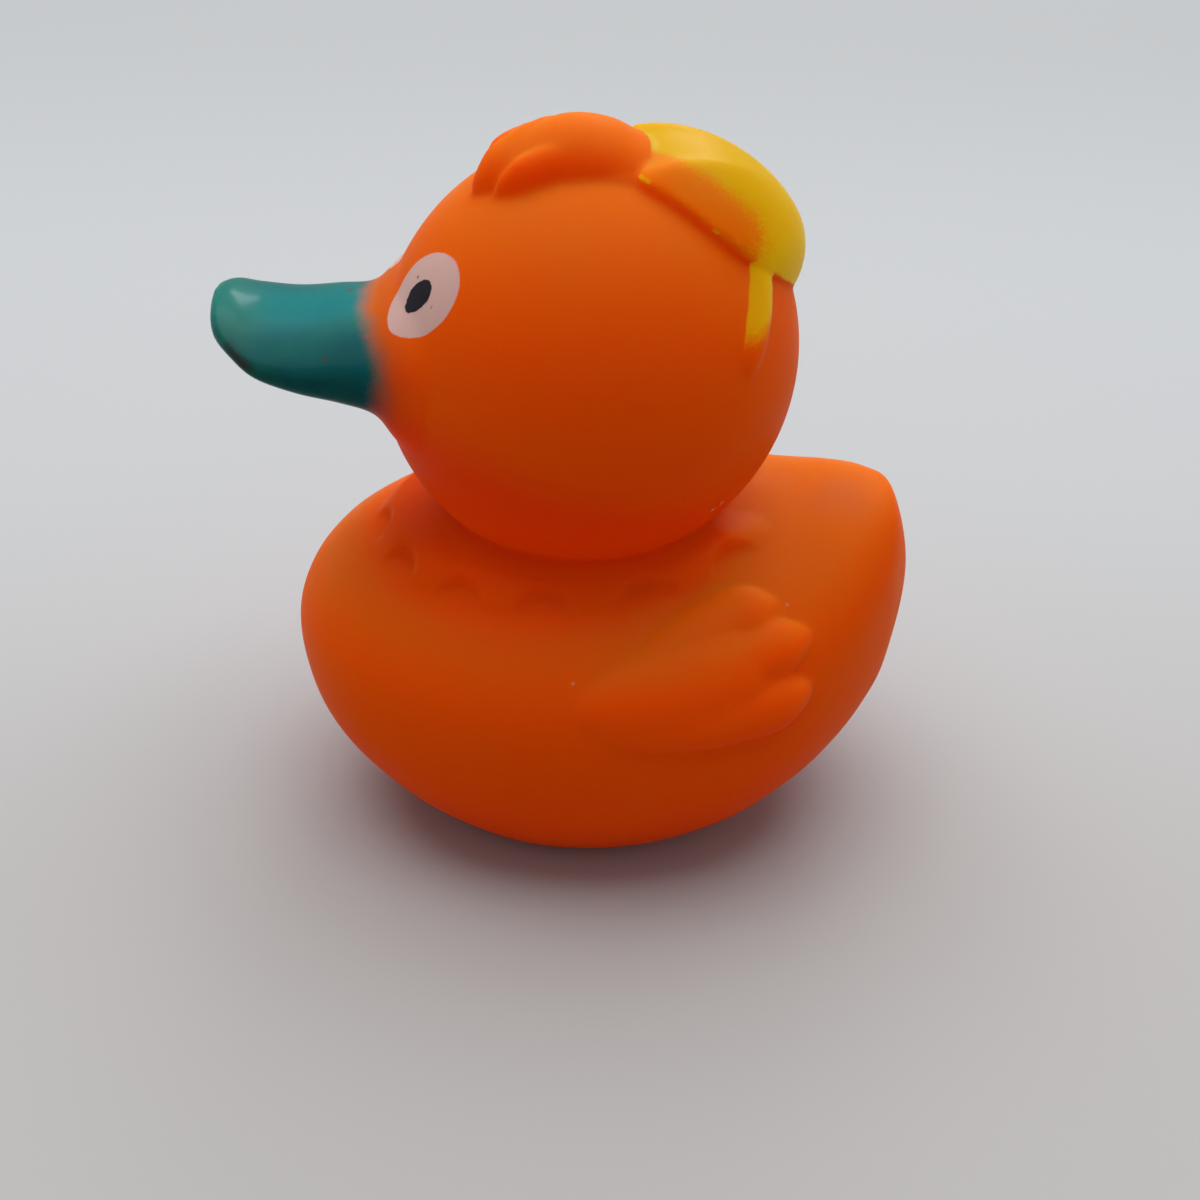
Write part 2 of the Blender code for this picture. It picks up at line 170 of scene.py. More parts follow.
# Half of the cap's rim: its place on the head and a share of the edge's height
CAP_RIM: Rows = (
    (0.0, 12.3, 0.8),
    (0.14, 11.6, 0.85),
    (0.262, 9.2, 1.0),
    (0.330, 16.5, 1.0),
    (0.392, 27.4, 1.0),
    (0.412, 38.3, 1.0),
    (0.372, 48.5, 0.85),
    (0.245, 59.0, 0.5),
    (0.10, 66.0, 0.35),
    (0.0, 68.0, 0.35),
)

# Strands of the wing: place along the body's half length and height as a share of the body's height,
# then the half width as a share of that height and a share of the relief
WING_PAD: Rows = (
    (-0.110, 0.690, 0.0, 0.0),
    (-0.055, 0.696, 0.075, 0.34),
    (0.060, 0.712, 0.125, 0.70),
    (0.190, 0.738, 0.160, 0.94),
    (0.320, 0.766, 0.165, 1.02),
    (0.430, 0.788, 0.135, 0.90),
    (0.530, 0.800, 0.0, 0.0),
)
LOWER_FEATHER: Rows = (
    (-0.080, 0.685, 0.0, 0.0),
    (-0.020, 0.667, 0.050, 0.28),
    (0.060, 0.652, 0.072, 0.48),
    (0.220, 0.648, 0.080, 0.72),
    (0.400, 0.656, 0.082, 0.92),
    (0.545, 0.672, 0.080, 1.0),
    (0.632, 0.690, 0.0, 0.0),
)
MIDDLE_FEATHER: Rows = (
    (0.000, 0.735, 0.0, 0.0),
    (0.100, 0.745, 0.050, 0.42),
    (0.240, 0.768, 0.062, 0.72),
    (0.390, 0.793, 0.076, 0.92),
    (0.530, 0.812, 0.084, 1.0),
    (0.630, 0.820, 0.0, 0.0),
)
UPPER_FEATHER: Rows = (
    (0.030, 0.785, 0.0, 0.0),
    (0.140, 0.815, 0.060, 0.36),
    (0.260, 0.852, 0.082, 0.60),
    (0.370, 0.879, 0.090, 0.74),
    (0.455, 0.890, 0.080, 0.78),
    (0.525, 0.893, 0.0, 0.0),
)


def spline(rows: Rows, steps: int, places: int) -> np.ndarray:
    """Draw a smooth curve through rows of numbers, rounded where the sizes shrink to nothing at an end.

    Args:
        rows: the points to pass through, each a place and then sizes.
        steps: how many points each stretch gets.
        places: how many of the first columns hold the place.

    Returns:
        The curve's points, one a row.
    """
    points = np.array(rows, dtype=float)
    turned = np.array([1.0] * places + [-1.0] * (points.shape[1] - places))
    t = (np.arange(steps) / steps)[:, None]

    def beyond(end: np.ndarray, inner: np.ndarray) -> np.ndarray:
        """Point past an end, mirrored where the sizes are nothing there."""
        return 2.0 * end - inner if np.any(end[places:]) else inner * turned

    padded = np.vstack([beyond(points[0], points[1]), points, beyond(points[-1], points[-2])])
    runs = [b + 0.5 * t * (c - a + t * (2 * a - 5 * b + 4 * c - d + t * (3 * b - a - 3 * c + d)))
            for a, b, c, d in zip(padded, padded[1:], padded[2:], padded[3:])]
    return np.vstack(runs + [points[-1:]])


def superellipse(angle: float, roundness: float) -> tuple[float, float]:
    """Point of a unit superellipse in the direction of an angle, where roundness 2 is a circle."""
    across, up = math.cos(angle), math.sin(angle)
    power = 2.0 / roundness
    return math.copysign(abs(across) ** power, across), math.copysign(abs(up) ** power, up)


def turns(count: int) -> list[float]:
    """Angles that divide a full turn evenly."""
    return [2.0 * math.pi * i / count for i in range(count)]


def evened(mesh: bpy.types.Mesh, values: np.ndarray, rounds: int) -> np.ndarray:
    """Even out numbers on a mesh's points with those of their neighbours.

    Args:
        mesh: the mesh, whose every point has a neighbour.
        values: a number for each point.
        rounds: how often each number is blended with its neighbours' mean.

    Returns:
        The evened numbers.
    """
    ends = np.empty(2 * len(mesh.edges), dtype=np.int32)
    mesh.edges.foreach_get("vertices", ends)
    start, end = ends.reshape(-1, 2).T
    neighbours = np.bincount(ends, minlength=len(values))
    for _ in range(rounds):
        total = np.bincount(start, values[end], len(values)) + np.bincount(end, values[start], len(values))
        values = 0.5 * (values + total / neighbours)
    return values


def numbers_of(items: Any, name: str) -> np.ndarray:
    """Vectors that a mesh keeps under a name, one a row."""
    values = np.empty(3 * len(items))
    items.foreach_get(name, values)
    return values.reshape(-1, 3)


def outline_reach(points: np.ndarray, outline: np.ndarray) -> np.ndarray:
    """Measure how far points lie inside a closed outline.

    Args:
        points: flat points, one a row.
        outline: corners of the outline, one a row.

    Returns:
        The distance to the outline for each point, above nothing inside it and below nothing outside.
    """
    nearest = np.full(len(points), np.inf)
    inside = np.zeros(len(points), dtype=bool)
    for start, end in zip(outline, np.roll(outline, -1, axis=0)):
        run = end - start
        share = np.clip((points - start) @ run / max(run @ run, 1e-18), 0.0, 1.0)
        nearest = np.minimum(nearest, np.linalg.norm(points - start - share[:, None] * run, axis=1))
        crosses = (start[1] > points[:, 1]) != (end[1] > points[:, 1])
        if run[1]:
            inside ^= crosses & (points[:, 0] < start[0] + run[0] * (points[:, 1] - start[1]) / run[1])
    return np.where(inside, nearest, -nearest)


def stand(name: str, data: Any) -> bpy.types.Object:
    """Put a mesh, lamp or camera into the scene as an object."""
    item = bpy.data.objects.new(name, data)
    bpy.context.collection.objects.link(item)
    return item


class Form:
    """Closed skins that are gathered to be fused into one."""

    def __init__(self) -> None:
        """Start with nothing gathered."""
        self.mesh = bmesh.new()

    def add_rings(self, rings: list[Ring]) -> None:
        """Add a closed skin over rings of points, with a fan at each end.

        Args:
            rings: sections of the form in order, all with the same number of points.
        """
        rows = [[self.mesh.verts.new(point) for point in ring] for ring in rings]
        count = len(rows[0])
        for lower, upper in zip(rows, rows[1:]):
            for i in range(count):
                j = (i + 1) % count
                self.mesh.faces.new((lower[i], lower[j], upper[j], upper[i]))
        for row in (rows[0], rows[-1]):
            middle = self.mesh.verts.new(sum((v.co for v in row), Vector()) / count)
            for i in range(count):
                self.mesh.faces.new((row[i], row[(i + 1) % count], middle))

    def add_mesh(self, mesh: bpy.types.Mesh, side: Side = Side.LEFT) -> None:
        """Add a finished closed mesh that was made for the left side.

        Args:
            mesh: the mesh to add.
            side: the side that it goes on.
        """
        copy = mesh.copy()
        copy.transform(Matrix.Diagonal((side.value, 1.0, 1.0, 1.0)))
        self.mesh.from_mesh(copy)
        bpy.data.meshes.remove(copy)

    def place(self, name: str) -> bpy.types.Object:
        """Put what is gathered into the scene as one object with its faces out.

        Args:
            name: the object's name.

        Returns:
            The new object.
        """
        bmesh.ops.recalc_face_normals(self.mesh, faces=self.mesh.faces)
        mesh = bpy.data.meshes.new(name)
        self.mesh.to_mesh(mesh)
        self.mesh.free()
        mesh.polygons.foreach_set("use_smooth", [True] * len(mesh.polygons))
        return stand(name, mesh)


def pin(radius: float, centre: float, heights: tuple[float, float], sides: int = 48) -> list[Ring]:
    """Rings of an upright round pin around a place along Y."""
    return [[Vector((radius * math.cos(t), centre + radius * math.sin(t), z)) for t in turns(sides)]
            for z in heights]


def carried_out(item: bpy.types.Object) -> bpy.types.Mesh:
    """Mesh of an object with its modifiers carried out."""
    graph = bpy.context.evaluated_depsgraph_get()
    return bpy.data.meshes.new_from_object(item.evaluated_get(graph))


def discard(*items: bpy.types.Object) -> None:
    """Remove helper objects from the scene."""
    for item in items:
        bpy.data.objects.remove(item, do_unlink=True)


@dataclass(frozen=True)
class Fineness:
    """How a fused skin is meshed and softened, with thinning to about a number of triangles."""

    voxel: float
    softening: int
    triangles: int

    def fuse(self, name: str, form: Form) -> bpy.types.Object:
        """Fuse gathered forms into one soft skin.

        Args:
            name: the object's name.
            form: the gathered forms.

        Returns:
            An object with the fused skin as its mesh.
        """
        item = form.place(name)
        remesh = item.modifiers.new("fuse", "REMESH")
        remesh.mode = "VOXEL"
        remesh.voxel_size = self.voxel
        soften = item.modifiers.new("soften", "SMOOTH")
        soften.iterations = self.softening
        fine = carried_out(item)
        fine.calc_loop_triangles()
        count = len(fine.loop_triangles)
        item.modifiers.clear()
        item.data = fine
        if count > self.triangles:
            item.modifiers.new("thin", "DECIMATE").ratio = self.triangles / count
            item.data = carried_out(item)
            item.modifiers.clear()
        return item


class Graph:
    """A node tree with short ways to add, fill and link its nodes."""

    def __init__(self, tree: bpy.types.NodeTree) -> None:
        """Take hold of a node tree."""
        self.tree = tree

    def add(self, kind: str, inputs: dict[str | int, Any] | None = None, **settings: Any) -> bpy.types.Node:
        """Add a node.

        Args:
            kind: the node's type.
            inputs: what goes into its sockets, a value or another node's output.
            settings: the node's own settings.

        Returns:
            The new node.
        """
        node = self.tree.nodes.new(kind)
        for name, value in settings.items():
            setattr(node, name, value)
        self.fill(node, inputs or {})
        return node

    def fill(self, node: bpy.types.Node, inputs: dict[str | int, Any]) -> None:
        """Set or link inputs of a node."""
        for key, value in inputs.items():
            if isinstance(value, Socket):
                self.tree.links.new(value, node.inputs[key])
            else:
                node.inputs[key].default_value = value

    def math(self, operation: str, *values: Socket | float) -> Socket:
        """Output of a sum on numbers."""
        return self.add("ShaderNodeMath", dict(enumerate(values)), operation=operation).outputs[0]

    def vector(self, operation: str, *values: Any) -> Socket:
        """Output of a sum on vectors, a number for a length and a vector for the rest."""
        node = self.add("ShaderNodeVectorMath", dict(enumerate(values)), operation=operation)
        return node.outputs["Value" if operation in ("LENGTH", "DISTANCE", "DOT_PRODUCT") else "Vector"]

    def product(self, *values: Socket | float) -> Socket:
        """Product of two or more numbers."""
        result = values[0]
        for value in values[1:]:
            result = self.math("MULTIPLY", result, value)
        return result

    def share(self, value: Socket | float, whole: Socket | float) -> Socket:
        """Share of a whole that a number is, kept between 0 and 1."""
        node = self.add("ShaderNodeMath", {0: value, 1: whole}, operation="DIVIDE", use_clamp=True)
        return node.outputs[0]

    def scaled(self, vector: Socket, factor: Socket | float) -> Socket:
        """A vector times a number."""
        node = self.add("ShaderNodeVectorMath", {0: vector, "Scale": factor}, operation="SCALE")
        return node.outputs["Vector"]

    def ramp(self, value: Socket, low: Socket | float, high: Socket | float,
             from_value: Socket | float = 0.0, to_value: Socket | float = 1.0) -> Socket:
        """Smooth step of a value between two limits.

        Args:
            value: the value that is read.
            low: where the step begins.
            high: where the step ends.
            from_value: the result below low.
            to_value: the result above high.

        Returns:
            The step's output.
        """
        node = self.add("ShaderNodeMapRange", {"Value": value, "From Min": low, "From Max": high,
                                               "To Min": from_value, "To Max": to_value},
                        interpolation_type="SMOOTHSTEP")
        return node.outputs["Result"]

    def noise(self, place: Socket, size: Socket | float, detail: float = 2.0) -> Socket:
        """Noise with features of about a size."""
        scale = self.math("DIVIDE", 1.0, size) if isinstance(size, Socket) else 1.0 / size
        return self.add("ShaderNodeTexNoise",
                        {"Vector": place, "Scale": scale, "Detail": detail}).outputs[0]

    def bump(self, height: Socket, strength: float, distance: float) -> Socket:
        """Normal of a surface that a height roughens."""
        return self.add("ShaderNodeBump",
                        {"Height": height, "Strength": strength, "Distance": distance}).outputs[0]

    def mix_colour(self, mask: Socket, under: Any, over: Any) -> Socket:
        """Blend of two colours by a mask."""
        under, over = (value if isinstance(value, Socket) else (*value, 1.0) for value in (under, over))
        return self.add("ShaderNodeMix", {0: mask, 6: under, 7: over}, data_type="RGBA").outputs[2]

    def mix_number(self, mask: Socket, under: Any, over: Any) -> Socket:
        """Blend of two numbers by a mask."""
        return self.add("ShaderNodeMix", {0: mask, 2: under, 3: over}, data_type="FLOAT").outputs[0]


def new_material(name: str) -> tuple[bpy.types.Material, Graph, bpy.types.Node]:
    """Make a material, and give its nodes and its shader with it."""
    material = bpy.data.materials.new(name)
    material.use_nodes = True
    return material, Graph(material.node_tree), material.node_tree.nodes["Principled BSDF"]


class Kind(Enum):
    """Kind of a node group's input or output that isn't a plain number with a default."""

    GEOMETRY = "NodeSocketGeometry"
    MATERIAL = "NodeSocketMaterial"
    NUMBER = "NodeSocketFloat"
    OBJECT = "NodeSocketObject"
    VECTOR = "NodeSocketVector"


class NodeGroup:
    """A node group with named inputs and outputs, to be filled by its maker."""

    def __init__(self, name: str, tree_type: str, inputs: dict[str, Kind | float], output: Kind) -> None:
        """Make the empty group.

        Args:
            name: the group's name.
            tree_type: GeometryNodeTree or ShaderNodeTree.
            inputs: the kind of each input, or the default of one that is a number.
            output: the kind of its one output.
        """
        self.tree = bpy.data.node_groups.new(name, tree_type)
        for label, given in inputs.items():
            if isinstance(given, Kind):
                self.tree.interface.new_socket(label, in_out="INPUT", socket_type=given.value)
                continue
            whole = "NodeSocketInt" if isinstance(given, int) else Kind.NUMBER.value
            self.tree.interface.new_socket(label, in_out="INPUT", socket_type=whole).default_value = given
        self.tree.interface.new_socket("Result", in_out="OUTPUT", socket_type=output.value)
        self.graph = Graph(self.tree)
        self.source = self.tree.nodes.new("NodeGroupInput").outputs
        self.result = self.tree.nodes.new("NodeGroupOutput").inputs

    def give(self, value: Socket) -> None:
        """Link a value to the group's output."""
        self.tree.links.new(value, self.result[0])

    def give_geometry(self, geometry: Socket) -> None:
        """Realize a geometry, give it the group's material and link it to the output."""
        plain = self.graph.add("GeometryNodeRealizeInstances", {"Geometry": geometry})
        dressed = self.graph.add("GeometryNodeSetMaterial", {"Geometry": plain.outputs[0],
                                                            "Material": self.source["Material"]})
        self.give(dressed.outputs[0])

    def run(self, item: bpy.types.Object, values: dict[str, Any]) -> bpy.types.Mesh:
        """Carry the group out on an object.

        Args:
            item: the object whose mesh goes in.
            values: what goes into the group's named inputs.

        Returns:
            The resulting mesh.
        """
        step = item.modifiers.new(self.tree.name, "NODES")
        step.node_group = self.tree
        keys = {socket.name: socket.identifier for socket in self.tree.interface.items_tree
                if socket.in_out == "INPUT"}
        for label, value in values.items():
            step[keys[label]] = value
        mesh = carried_out(item)
        item.modifiers.remove(step)
        return mesh


@dataclass
class Body:
    """Hull of the body, a rounded boat with a flat base, given by sections along Y."""

    length: float = 56.2 * MM
    width: float = 42.8 * MM
    height: float = 30.6 * MM
    roundness: float = 2.25
    stations: Rows = BODY_STATIONS
    steps: int = 14
    sides: int = 160

    def rows(self, inset: float = 0.0) -> np.ndarray:
        """Sections of the body: place along Y, height of the widest line, half width, rise and depth."""
        rise = self.height - inset / max(row[3] for row in self.stations)
        sizes = (self.length / 2 - inset, self.height, self.width / 2 - inset, rise, rise)
        return spline(self.stations, self.steps, 2) * sizes

    def add_to(self, form: Form, inset: float = 0.0, floor: float = 0.0) -> None:
        """Add the body's skin to a form.

        Args:
            form: what it is gathered in.
            inset: how far inside the outer surface it lies.
            floor: the height of its flat base.
        """
        shares = [superellipse(angle, self.roundness) for angle in turns(self.sides)]
        rings = [[Vector((half * across, y, max(floor, middle + (rise if up > 0 else depth) * up)))
                  for across, up in shares] for y, middle, half, rise, depth in self.rows(inset)[1:-1]]
        form.add_rings(rings)

    def place(self, along: float, height: float) -> Vector:
        """Point of the left side.

        Args:
            along: place along the half length, from -1 at the breast to 1 at the tail.
            height: share of the body's height.

        Returns:
            The point on the surface.
        """
        y, z = along * self.length / 2, height * self.height
        rows = self.rows()
        middle, half, rise, depth = [float(np.interp(y, rows[:, 0], column)) for column in rows.T[1:]]
        share = abs(z - middle) / (rise if z > middle else depth)
        return Vector((half * max(0.0, 1.0 - share ** self.roundness) ** (1.0 / self.roundness), y, z))


@dataclass
class Head:
    """Ball of the head, a little longer along an axis that leans back."""

    body: Body
    radius: float = 18.0 * MM
    forward: float = 0.031
    seat: float = 0.8
    stretch: float = 0.045
    tilt: float = 25.0
    sides: int = 160

    @property
    def centre(self) -> Vector:
        """Middle of the ball."""
        return Vector((0.0, -self.forward * self.body.length, self.body.height + self.seat * self.radius))

    @property
    def front(self) -> float:
        """Place of the ball's front along Y."""
        return self.centre.y - self.radius

    def over(self, out: Vector, height: float = 0.0) -> Vector:
        """Point at a height over the head in a direction from its centre."""
        lean = math.radians(self.tilt)
        axis = Vector((0.0, math.sin(lean), math.cos(lean)))
        return self.centre + out * (self.radius * (1.0 + self.stretch * out.dot(axis) ** 2) + height)

    def place(self, side: float, back: float, height: float = 0.0) -> Vector:
        """Point over the head.

        Args:
            side: share of the radius out to the left.
            back: degrees from the crown towards the back.
            height: height over the surface.

        Returns:
            The point.
        """
        reach, turn = math.sqrt(1.0 - side * side), math.radians(back)
        return self.over(Vector((side, reach * math.sin(turn), reach * math.cos(turn))), height)

    def chart(self, points: np.ndarray) -> np.ndarray:
        """Lay points near the head out flat, as lengths out to the side and back from the crown.

        Args:
            points: points in space, one a row.

        Returns:
            Flat points, one a row, alike for both sides of the duck.
        """
        out = points - np.array(self.centre)
        out /= np.linalg.norm(out, axis=1)[:, None]
        return self.radius * np.stack([np.abs(out[:, 0]), np.arctan2(out[:, 1], out[:, 2])], axis=1)

    def add_to(self, form: Form, inset: float = 0.0) -> None:
        """Add the head's skin to a form, at an inset inside the outer surface."""
        rings = []
        for level in range(1, self.sides // 2):
            tilt = 2.0 * math.pi * level / self.sides
            rings.append([self.over(Vector((math.sin(tilt) * math.cos(t), math.sin(tilt) * math.sin(t),
                                            math.cos(tilt))), -inset) for t in turns(self.sides)])
        form.add_rings(rings)


@dataclass
class Bill:
    """Wide flat bill that spreads into the head and turns up at its tip."""

    head: Head
    length: float = 14.4 * MM
    width: float = 17.0 * MM
    roundness: float = 2.2
    stations: Rows = BILL_STATIONS
    steps: int = 12
    sides: int = 96

    def add_to(self, form: Form) -> None:
        """Add the bill's skin to a form."""
        half_width = self.width / 2
        shares = [superellipse(angle, self.roundness) for angle in turns(self.sides)]
        rings = []
        for along, lift, wide, thick in spline(self.stations, self.steps, 2)[:-1]:
            centre = Vector((0.0, self.head.front - along * self.length,
                             self.head.centre.z + lift * half_width))
            rings.append([centre + half_width * Vector((wide * across, 0.0, thick * up))
                          for across, up in shares])
        form.add_rings(rings)


class StrandTree:
    """Geometry nodes that drape a raised strand along a path over a surface."""

    def __init__(self) -> None:
        """Build the tree."""
        self.group = NodeGroup("draped_strand", "GeometryNodeTree", {
            "Geometry": Kind.GEOMETRY, "Surface": Kind.OBJECT, "Depth": 1.6 * MM, "Softness": 1.0,
            "Sides": 32, "Material": Kind.MATERIAL}, Kind.GEOMETRY)
        graph, source = self.group.graph, self.group.source
        surface = graph.add("GeometryNodeObjectInfo", {"Object": source["Surface"]}).outputs["Geometry"]
        tube = self.tube(graph, source)
        self.group.give_geometry(self.draped(graph, source, surface, tube))

    @staticmethod
    def stored(graph: Graph, geometry: Socket, name: str, value: Socket) -> Socket:
        """A geometry with a vector kept on its points under a name."""
        return graph.add("GeometryNodeStoreNamedAttribute",
                         {"Geometry": geometry, "Name": name, "Value": value},
                         data_type="FLOAT_VECTOR", domain="POINT").outputs["Geometry"]

    @staticmethod
    def kept(graph: Graph, name: str, data_type: str = "FLOAT_VECTOR") -> Socket:
        """What is kept on the points under a name."""
        node = graph.add("GeometryNodeInputNamedAttribute", {"Name": name}, data_type=data_type)
        return node.outputs["Attribute"]

    def tube(self, graph: Graph, source: Any) -> Socket:
        """Sweep a ring along the path, keeping each point's place on the path and turn round the ring.

        Args:
            graph: the tree's nodes.
            source: the tree's inputs.

        Returns:
            The closed tube.
        """
        position = graph.add("GeometryNodeInputPosition").outputs[0]
        path = graph.add("GeometryNodeMeshToCurve", {"Mesh": source["Geometry"]}).outputs[0]
        path = self.stored(graph, path, "place", position)
        path = self.stored(graph, path, "ahead", graph.add("GeometryNodeInputTangent").outputs[0])
        ring = graph.add("GeometryNodeCurvePrimitiveCircle", {"Resolution": source["Sides"], "Radius": 1.0})
        ring = self.stored(graph, ring.outputs["Curve"], "turn", position)
        return graph.add("GeometryNodeCurveToMesh", {"Curve": path, "Profile Curve": ring,
                                                     "Fill Caps": True}).outputs["Mesh"]

    def draped(self, graph: Graph, source: Any, surface: Socket, tube: Socket) -> Socket:
        """Lay the tube over the surface: its upper half rises from it and its lower half sinks into it.

        Args:
            graph: the tree's nodes.
            source: the tree's inputs.
            surface: what the strand lies on.
            tube: the swept tube.

        Returns:
            The draped strand.
        """
        def facing(point: Socket) -> Socket:
            """Direction out of the surface nearest to a point."""
            normal = graph.add("GeometryNodeInputNormal").outputs[0]
            node = graph.add("GeometryNodeSampleNearestSurface",
                             {"Mesh": surface, "Value": normal, "Sample Position": point},
                             data_type="FLOAT_VECTOR")
            return graph.vector("NORMALIZE", node.outputs["Value"])

        place = self.kept(graph, "place")
        turn = graph.add("ShaderNodeSeparateXYZ", {0: self.kept(graph, "turn")}).outputs
        across = graph.vector("CROSS_PRODUCT", facing(place), self.kept(graph, "ahead"))
        across = graph.vector("NORMALIZE", across)
        aside = graph.product(self.kept(graph, "half", "FLOAT"), turn["X"])
        beside = graph.vector("ADD", place, graph.scaled(across, aside))
        foot = graph.add("GeometryNodeProximity", {"Target": surface, "Source Position": beside},
                         target_element="FACES").outputs["Position"]
        swell = graph.math("POWER", graph.math("MAXIMUM", turn["Y"], 0.0), source["Softness"])
        up = graph.product(self.kept(graph, "rise", "FLOAT"), swell)
        down = graph.math("MINIMUM", graph.product(source["Depth"], turn["Y"]), 0.0)
        height = graph.math("ADD", up, down)
        point = graph.vector("ADD", foot, graph.scaled(facing(foot), height))
        return graph.add("GeometryNodeSetPosition", {"Geometry": tube, "Position": point}).outputs[0]

    def drape(self, path: np.ndarray, surface: bpy.types.Object, softness: float = 1.0) -> bpy.types.Mesh:
        """Make a strand.

        Args:
            path: points, half widths and rises along the strand, one a row.
            surface: the object that it lies on.
            softness: 1 for a section that is half an ellipse, more for one that runs out softly.

        Returns:
            The strand's closed mesh.
        """
        mesh = bpy.data.meshes.new("path")
        mesh.from_pydata(path[:, :3], [(i, i + 1) for i in range(len(path) - 1)], [])
        for name, values in (("half", path[:, 3]), ("rise", path[:, 4])):
            mesh.attributes.new(name, "FLOAT", "POINT").data.foreach_set("value", values)
        item = stand("path", mesh)
        strand = self.group.run(item, {"Surface": surface, "Softness": softness})
        discard(item)
        return strand


class CollarTree:
    """Geometry nodes that lay a scalloped sheet over the shoulders of the mesh that goes in."""

    def __init__(self) -> None:
        """Build the tree."""
        self.group = NodeGroup("scalloped_collar", "GeometryNodeTree", {
            "Geometry": Kind.GEOMETRY, "Lobes": 13, "Half Width": 15.0 * MM, "Front": 17.0 * MM,
            "Back": 21.0 * MM, "Centre": 0.0, "Inner": 0.5, "Arch Share": 0.62, "Arch Height": 0.10,
            "Lift": 1.5 * MM, "Fade": 0.13, "End": 0.97, "End Fade": 0.17, "Depth": 4.7 * MM,
            "Neck Centre": 0.0, "Neck Rise": 1.9 * MM, "Neck Spread": 14.0 * MM,
            "Neck Crease": 11.6 * MM, "Neck Limit": 1.3, "Around": 730, "Across": 40,
            "Weld": 0.01 * MM, "Material": Kind.MATERIAL}, Kind.GEOMETRY)
        graph, source = self.group.graph, self.group.source
        sheet = graph.add("GeometryNodeMeshGrid",
                          {"Size X": 1.0, "Size Y": 1.0, "Vertices X": source["Around"],
                           "Vertices Y": source["Across"]}).outputs["Mesh"]
        position = graph.add("GeometryNodeInputPosition").outputs[0]
        place = graph.add("ShaderNodeSeparateXYZ", {0: position}).outputs
        angle = graph.product(graph.math("ADD", place["X"], 0.5), 2.0 * math.pi)
        share = graph.math("ADD", place["Y"], 0.5)
        reach = self.reach(graph, source, angle, share)
        point = self.over_shoulders(graph, source, angle, reach)
        self.group.give_geometry(self.closed(graph, source, sheet, point))

    @staticmethod
    def reach(graph: Graph, source: Any, angle: Socket, share: Socket) -> Socket:
        """Reach of the sheet's points, from its inner ring to the arches of its edge."""
        half_pitch = graph.math("DIVIDE", math.pi, source["Lobes"])
        offset = graph.math("DIVIDE", graph.math("PINGPONG", angle, half_pitch),
                            graph.product(half_pitch, source["Arch Share"]))
        bow = graph.math("SUBTRACT", 1.0, graph.product(offset, offset))
        arch = graph.math("SQRT", graph.math("MAXIMUM", bow, 0.0))
        edge = graph.math("SUBTRACT", 1.0, graph.product(source["Arch Height"], arch))
        span = graph.math("SUBTRACT", edge, source["Inner"])
        return graph.math("ADD", source["Inner"], graph.product(span, share))

    @staticmethod
    def over_shoulders(graph: Graph, source: Any, angle: Socket, reach: Socket) -> Socket:
        """Points of the sheet over the mesh that goes in.

        The sheet sinks onto the mesh at the tips of the lobes and right behind the head, and it sweeps up
        into the neck at its inner side.
        """
        ahead = graph.math("COSINE", angle)
        extra = graph.product(graph.math("SUBTRACT", source["Front"], source["Back"]),
                              graph.math("GREATER_THAN", ahead, 0.0))
        half_length = graph.math("ADD", source["Back"], extra)
        x = graph.product(source["Half Width"], reach, graph.math("SINE", angle))
        y = graph.math("SUBTRACT", source["Centre"], graph.product(half_length, reach, ahead))
        above = graph.add("ShaderNodeCombineXYZ", {"X": x, "Y": y, "Z": 1.0}).outputs[0]
        hit = graph.add("GeometryNodeRaycast",
                        {"Target Geometry": source["Geometry"], "Source Position": above,
                         "Ray Direction": (0.0, 0.0, -1.0), "Ray Length": 2.0})
        sunk = graph.share(graph.math("SUBTRACT", 1.0, reach), source["Fade"])
        end = graph.share(graph.math("ADD", source["End"], ahead), source["End Fade"])
        lift = graph.product(source["Lift"], end, graph.math("SINE", graph.product(sunk, math.pi / 2)))
        behind = graph.math("SUBTRACT", y, source["Neck Centre"])
        beyond = graph.add("ShaderNodeCombineXYZ", {"X": x, "Y": behind}).outputs[0]
        inward = graph.math("SUBTRACT", source["Neck Spread"], graph.vector("LENGTH", beyond))
        sweep = graph.math("DIVIDE", inward,
                           graph.math("SUBTRACT", source["Neck Spread"], source["Neck Crease"]))
        sweep = graph.math("MINIMUM", graph.math("MAXIMUM", sweep, 0.0), source["Neck Limit"])
        rise = graph.product(graph.math("POWER", sweep, 3.0), source["Neck Rise"])
        raised = graph.add("ShaderNodeCombineXYZ", {"Z": graph.math("ADD", lift, rise)}).outputs[0]
        return graph.vector("ADD", hit.outputs["Hit Position"], raised)

    @staticmethod
    def closed(graph: Graph, source: Any, sheet: Socket, point: Socket) -> Socket:
        """Closed sheet of the stated depth, with its seam merged."""
        upper = graph.add("GeometryNodeSetPosition", {"Geometry": sheet, "Position": point}).outputs[0]
        upper = graph.add("GeometryNodeMergeByDistance",
                          {"Geometry": upper, "Distance": source["Weld"]}).outputs[0]
        down = graph.add("ShaderNodeCombineXYZ", {"Z": graph.product(source["Depth"], -1.0)}).outputs[0]
        sunk = graph.add("GeometryNodeExtrudeMesh", {"Mesh": upper, "Offset": down, "Offset Scale": 1.0,
                                                     "Individual": False}, mode="FACES").outputs["Mesh"]
        join = graph.add("GeometryNodeJoinGeometry")
        graph.tree.links.new(sunk, join.inputs[0])
        graph.tree.links.new(upper, join.inputs[0])
        return graph.add("GeometryNodeMergeByDistance",
                         {"Geometry": join.outputs[0], "Distance": source["Weld"]}).outputs[0]


